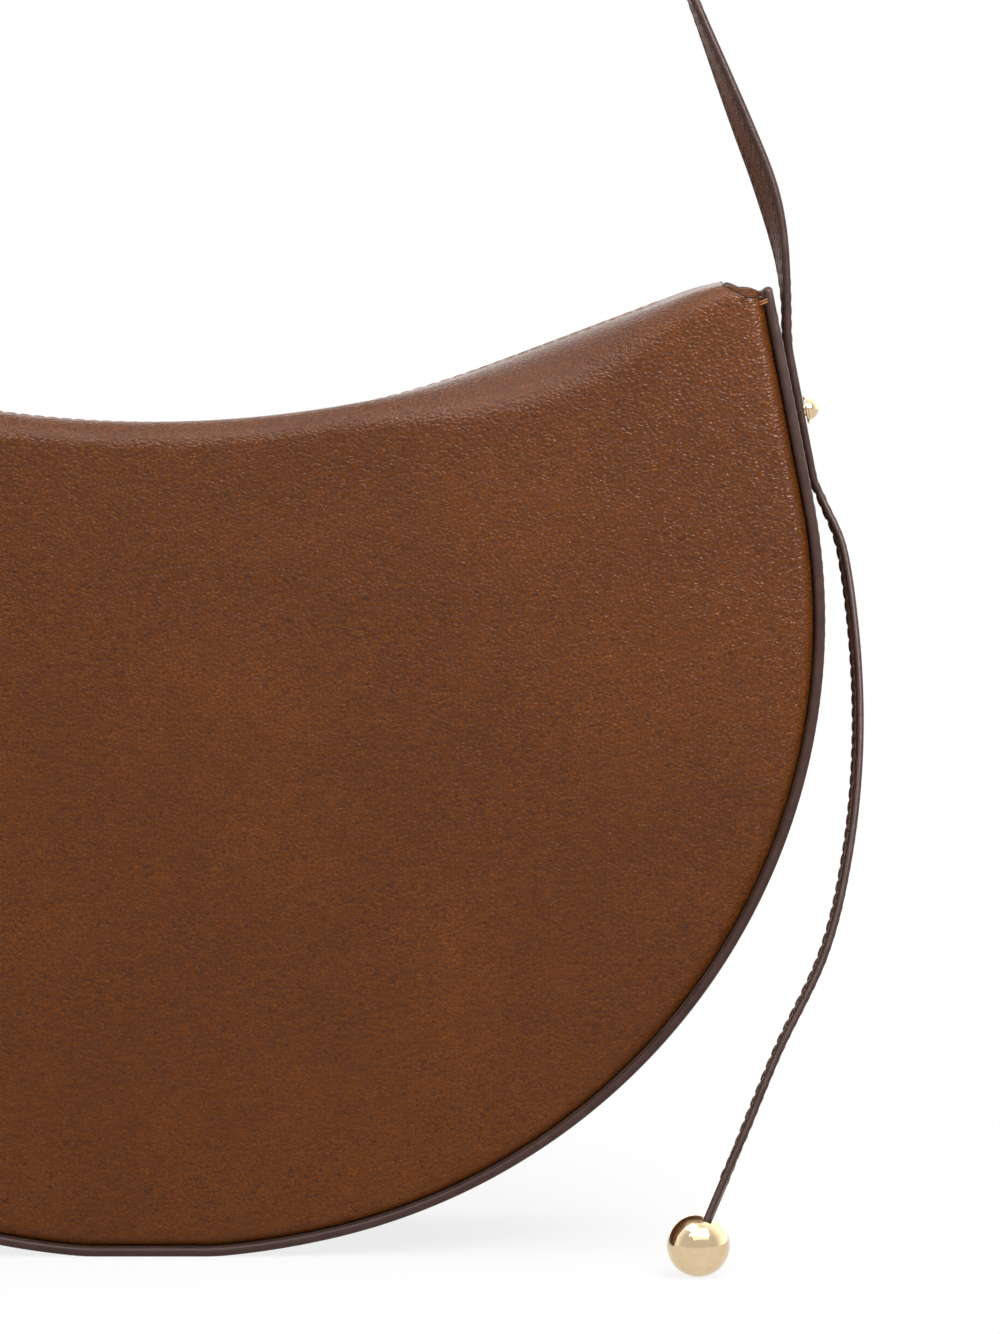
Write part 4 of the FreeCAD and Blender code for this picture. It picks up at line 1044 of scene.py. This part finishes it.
def turn_on_lathe(name, profile):
    """Turns a profile of (radius, height) points about the upright axis and closes its ends."""
    piece = add_piece(name, bpy.ops.mesh.primitive_circle_add, vertices=64, radius=profile[0][0],
                      location=(0, 0, profile[0][1]))
    settle(piece)
    enter("EDIT")
    bpy.ops.mesh.select_mode(type="VERT")
    bpy.ops.mesh.select_all(action="SELECT")
    for (radius, height), (wider, higher) in zip(profile, profile[1:]):
        bpy.ops.mesh.extrude_region_move(TRANSFORM_OT_translate={"value": (0, 0, higher - height)})
        share = wider / radius
        bpy.ops.transform.resize(value=(share, share, 1), center_override=(0, 0, higher))
    bpy.ops.mesh.edge_face_add()
    bpy.ops.mesh.select_mode(type="EDGE")
    bpy.ops.mesh.select_non_manifold()
    bpy.ops.mesh.edge_face_add()
    enter("OBJECT")
    turn_outwards(piece)
    return piece


stud_profile = [(radius * MM, height * MM) for radius, height in (
    (1.6, -2.6), (1.6, 2.9), (3.1, 2.9), (3.3, 3.02), (3.3, 3.28), (3.1, 3.4), (2.35, 3.42))]
for angle in (3, 10, 20, 30, 40, 50, 60, 68, 75, 81, 86):
    turn = radians(angle)
    stud_profile.append((HEAD_ROUND * cos(turn), HEAD_SEAT + HEAD_ROUND * sin(turn)))
for side, hand in (("right", 1), ("left", -1)):
    stud = turn_on_lathe("stud_" + side, stud_profile)
    coat(stud, gold)
    stud.data.transform(Matrix.Translation((hand * STUD_ROOT.x, 0, STUD_ROOT.z))
                        @ Matrix.Rotation(hand * (pi / 2 - SIDE_LEAN), 4, "Y"))
    smooth(stud, 35)
    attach(stud, "bag")
    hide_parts("ball_stud_" + side)
dress(gold, "stud_washer_right", "stud_washer_left", "stud_screw_right", "stud_screw_left")


# Shoulder strap: two plies of hide glued and sewn along both edges, the edges painted dark. It lies on
# the gusset at the stud, comes away over the corner with a slight twist, and loops over to the other side.
STRAP_WIDE = 10 * MM
STRAP_THICK = 1.9 * MM
STRAP_SEAT = Vector((145.431 * MM, 187.33 * MM))
STRAP_LEAN = radians(21.6)
STRAP_LOOP = radians(136.8)
STRAP_TWIST = radians(25)
STRAP_SEAM = 3.1 * MM
STRAP_SPARE = 8 * MM
side_runs = ((12 * MM, 0), (40 * MM * SIDE_LEAN, -SIDE_LEAN), (100 * MM * STRAP_LEAN, STRAP_LEAN),
             (216.05 * MM, 0))
strap_runs = (*side_runs, (60 * MM * STRAP_LOOP, STRAP_LOOP), *reversed(side_runs))
strap_length = sum(run for run, turn in strap_runs)
strap_path = run_line(STRAP_SEAT.x, STRAP_SEAT.y, pi / 2 + SIDE_LEAN, *strap_runs)


def strap_twist(length):
    """How far the strap is turned about its own line: a slow twist just above each corner."""
    from_stud = min(length, strap_length - length)
    if from_stud < 52 * MM:
        return STRAP_TWIST * rise(from_stud, 22, 30)
    return STRAP_TWIST * (1 - rise(from_stud, 52, 58))


def over_the_shoulder(along):
    """The strap's line from the right stud over the top to the left one."""
    length = along + strap_length / 2
    x, z, turn = strap_path(length)
    twist = strap_twist(length)
    front = Vector((0, -1, 0))
    out = Vector((sin(turn), 0, -cos(turn)))
    return (Vector((x, 0, z)), front * cos(twist) + out * sin(twist),
            out * cos(twist) - front * sin(twist))


# Strap hide: two dye tones mixed at random, a painted shade in the creases, and a painted shade along the
# pressed stitch lines.
strap_hide = leather("strap_hide", tint(90, 48, 22), tint(108, 61, 31), tint(66, 33, 14),
                     1300.0, 0.06 * MM, 0.42, 0.60, 0.08, (0.19, 0.05, tint(34, 17, 7)))
dark_thread = yarn("dark_thread", tint(44, 24, 13), tint(92, 56, 33))


def cut_strap(name, length, thickness, rounding, along, line):
    """A strap with rounded, painted edges, cut square to its length and bent along its line."""
    strip = cut_flat(name, length + STRAP_SPARE, STRAP_WIDE, along, 6)
    coat(strip, strap_hide, strap_hide, edge_paint)
    thicken(strip, thickness, rounding, 5)
    pick(strip)
    enter("EDIT")
    for hand in (1, -1):
        bpy.ops.mesh.select_all(action="SELECT")
        bpy.ops.mesh.bisect(plane_co=(hand * length / 2, 0, 0), plane_no=(hand, 0, 0),
                            clear_outer=True, use_fill=True)
    enter("OBJECT")
    bend(strip, line)
    smooth(strip, 60)
    return strip


strap = cut_strap("strap_loop", strap_length, STRAP_THICK, 0.9 * MM, 344, over_the_shoulder)
strap_stitches = sew("strap_stitches", strap_length - 30 * MM, STITCH_PITCH, STRAP_SEAM, -STRAP_THICK / 2,
                     dark_thread, 0.6 * MM)
bend(strap_stitches, over_the_shoulder)
for piece in (strap, strap_stitches):
    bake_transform(piece)
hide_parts("shoulder_strap", "strap_end_right", "strap_end_left")


# Strap tails: below each stud the strap's end runs on, bows away from the gusset, comes forward and
# stands on its ball in front of the bag. Same two plies, stitches and painted edges.
TAIL_THICK = 1.6 * MM
STITCH_PROUD = 0.1 * MM
TAIL_POINTS = [Vector(point) * MM for point in (
    (145.431, 0, 187.33), (147.57, 0, 176.5), (148.6, 0, 171.6), (150.9, -0.5, 166.4),
    (155.0, -3.4, 155.6), (157.6, -10.8, 134), (157.8, -18.8, 112), (155.3, -26.7, 90),
    (149.9, -34.0, 69), (139.3, -41.4, 47.6), (130.1, -48.6, 26.6), (122.0, -54.9, 8.6))]


def line_through(points):
    """A smooth line through points: its place at any length, and its whole length."""
    places = []
    for index in range(len(points) - 1):
        before = points[max(index - 1, 0)]
        first, last = points[index], points[index + 1]
        after = points[min(index + 2, len(points) - 1)]
        pull_out, pull_in = (last - before) / 2, (after - first) / 2
        for step in range(24):
            share = step / 24
            square, cube = share ** 2, share ** 3
            places.append((2 * cube - 3 * square + 1) * first + (cube - 2 * square + share) * pull_out
                          + (3 * square - 2 * cube) * last + (cube - square) * pull_in)
    places.append(points[-1])
    lengths = [0.0]
    for first, last in zip(places, places[1:]):
        lengths.append(lengths[-1] + (last - first).length)

    def at(length):
        length = min(max(length, 0), lengths[-1])
        index = max(i for i in range(len(lengths) - 1) if lengths[i] <= length)
        share = (length - lengths[index]) / (lengths[index + 1] - lengths[index])
        return places[index].lerp(places[index + 1], share)
    return at, lengths[-1]


tail_place, tail_length = line_through(TAIL_POINTS)


def down_the_tail(hand):
    """The tail's line from the stud to the ball, with its slight twists."""
    def at(along):
        length = along + tail_length / 2
        place = tail_place(length)
        ahead = (tail_place(length + 2 * MM) - tail_place(length - 2 * MM)).normalized()
        back = Vector((0, 1, 0))
        back = (back - ahead * back.dot(ahead)).normalized()
        out = ahead.cross(back)
        twist = radians(4 * rise(length, 18, 20) - 7 * rise(length, 60, 95)
                        - 5 * rise(length - tail_length, -28, 16))
        back, out = back * cos(twist) - out * sin(twist), out * cos(twist) + back * sin(twist)
        mirrored = Vector((hand, 1, 1))
        return place * mirrored, back * mirrored * hand, out * mirrored
    return at


for side, hand in (("right", 1), ("left", -1)):
    tail = cut_strap("strap_tail_hide_" + side, tail_length, TAIL_THICK, 0.75 * MM, 110, down_the_tail(hand))
    tail_stitches = sew("tail_stitches_" + side, tail_length - 24 * MM, STITCH_PITCH, STRAP_SEAM,
                        -TAIL_THICK / 2, dark_thread, 0.8 * MM)
    for vertex in tail_stitches.data.vertices:
        vertex.co.z -= STITCH_PROUD
    bend(tail_stitches, down_the_tail(hand))
    for piece in (tail, tail_stitches):
        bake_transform(piece)
    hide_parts("strap_tail_" + side)


# Balls: a polished gold ball on the end of each tail, turned, slotted for the strap's end, and clamped
# onto it with a small grub screw from below.
BALL_ROUND = 6.9 * MM
BALL_CENTRE = Vector((121.527 * MM, -55.515 * MM, BALL_ROUND))
SLOT_PLAY = 0.3 * MM
for side, hand in (("right", 1), ("left", -1)):
    ball = add_piece("ball_" + side, bpy.ops.mesh.primitive_uv_sphere_add, segments=96, ring_count=64,
                     radius=BALL_ROUND)
    slot_size = (TAIL_THICK + SLOT_PLAY, STRAP_WIDE + SLOT_PLAY, 9 * MM)
    slot_blade = block("slot_blade", slot_size, (0, 0, 6 * MM))
    across, out = down_the_tail(hand)(tail_length / 2 - 3 * MM)[1:]
    slot_blade.data.transform(Matrix((out, across, out.cross(across))).transposed().to_4x4())
    carve(ball, slot_blade)
    ball.data.transform(Matrix.Translation((hand * BALL_CENTRE.x, BALL_CENTRE.y, BALL_CENTRE.z)))
    coat(ball, gold)
    smooth(ball, 30)
    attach(ball, "tail_" + side)
    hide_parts("tail_ball_" + side)
dress(gold, "ball_screw_right", "ball_screw_left")


# Studio: a white floor that keeps the bag's soft shadow and white all round. Soft boxes in front, above and
# behind light the bag; the key, glint and over boxes are seen only as sheen on hide and metal, and the fill,
# top and back boxes only light. The camera stands at the photograph's place.
CAMERA_PLACE = (0.078, -1.650, 0.275)
CAMERA_DIP = radians(5.042)
CAMERA_LENS = 198.2
floor_white, tree, shader, place = new_finish("floor_white")
feed(tree, shader, {"Base Color": (0.9, 0.9, 0.9, 1), "Roughness": 0.9, "Specular IOR Level": 0.1})
glow = add_node(tree, "Emission", Color=(1, 1, 1, 1), Strength=1.0)
ray = add_node(tree, "LightPath").outputs
mirrored = reckon(tree, "MAXIMUM", ray["Is Glossy Ray"], ray["Is Transmission Ray"])
seen = reckon(tree, "MAXIMUM", ray["Is Camera Ray"], mirrored)
from_bag = add_node(tree, "VectorMath")
from_bag.operation = "LENGTH"
feed(tree, from_bag, {0: place["Object"]})
fade = spread(tree, from_bag.outputs["Value"], 0.08, 0.27, 0.82, 1.0, soft=True)
both = add_node(tree, "MixShader")
feed(tree, both, {0: reckon(tree, "MULTIPLY", seen, fade), 1: shader.outputs[0], 2: glow.outputs[0]})
feed(tree, tree.nodes["Material Output"], {"Surface": both.outputs[0]})
floor = add_piece("studio_floor", bpy.ops.mesh.primitive_plane_add, size=8)
coat(floor, floor_white)

world = bpy.data.worlds.new("studio_room")
bpy.context.scene.world = world
world.use_nodes = True
room = world.node_tree
ray = add_node(room, "LightPath").outputs
way = add_node(room, "SeparateXYZ", Vector=add_node(room, "TexCoord").outputs["Generated"])
mirrored = reckon(room, "MAXIMUM", ray["Is Glossy Ray"], ray["Is Transmission Ray"])
behind = spread(room, way.outputs["Y"], -0.45, 0.35, 0.8, 1.9, soft=True)
lit = reckon(room, "ADD", reckon(room, "MULTIPLY", mirrored, behind),
             reckon(room, "MULTIPLY", reckon(room, "SUBTRACT", 1.0, mirrored), 0.28))
strength = reckon(room, "MAXIMUM", lit, ray["Is Camera Ray"])
feed(room, room.nodes["Background"], {"Color": (1, 1, 1, 1), "Strength": strength})


def soft_box(name, place, aim, wide, high, watts, mirrored=True, lighting=True):
    """A soft light box, turned to a point. It may be left out of reflections, or light nothing else."""
    lamp = bpy.data.lights.new(name, "AREA")
    lamp.shape = "RECTANGLE"
    lamp.size = wide
    lamp.size_y = high
    lamp.energy = watts
    box = bpy.data.objects.new(name, lamp)
    bpy.context.scene.collection.objects.link(box)
    box.location = place
    box.rotation_euler = (Vector(aim) - Vector(place)).to_track_quat("-Z", "Y").to_euler()
    box.visible_glossy = mirrored
    box.visible_diffuse = lighting


soft_box("front_box", (0.24, -0.85, 1.12), (0.06, 0, 0.1), 1.5, 1.15, 6.5)
soft_box("key_box", (0.05, -0.82, 0.98), (0.06, 0, 0.12), 1.3, 0.15, 13.5, True, False)
soft_box("fill_box", (0.25, -1.0, 0.75), (0.06, 0, 0.12), 1.2, 0.6, 6.7, False)
soft_box("right_box", (0.27, -0.24, 0.38), (0.1, 0, 0.18), 0.16, 0.16, 0.5)
soft_box("glint_box", (0.30, -0.30, 0.42), (0.1, 0, 0.18), 0.2, 0.2, 4, True, False)
soft_box("over_box", (-0.35, -0.25, 1.45), (0.1, 0, 0.2), 0.9, 0.7, 12, True, False)
soft_box("top_box", (0.35, 0.1, 1.5), (0.05, 0, 0.1), 0.9, 0.9, 10, False)
soft_box("back_box", (-0.3, 1.3, 0.8), (0, 0, 0.15), 1.0, 0.8, 6, False)

eye = bpy.data.cameras.new("eye")
eye.sensor_fit = "AUTO"
eye.sensor_width = 36
eye.lens = CAMERA_LENS
camera = bpy.data.objects.new("eye", eye)
bpy.context.scene.collection.objects.link(camera)
camera.location = CAMERA_PLACE
camera.rotation_euler = (pi / 2 - CAMERA_DIP, 0, 0)
bpy.context.scene.camera = camera
bpy.context.scene.view_settings.view_transform = "Standard"
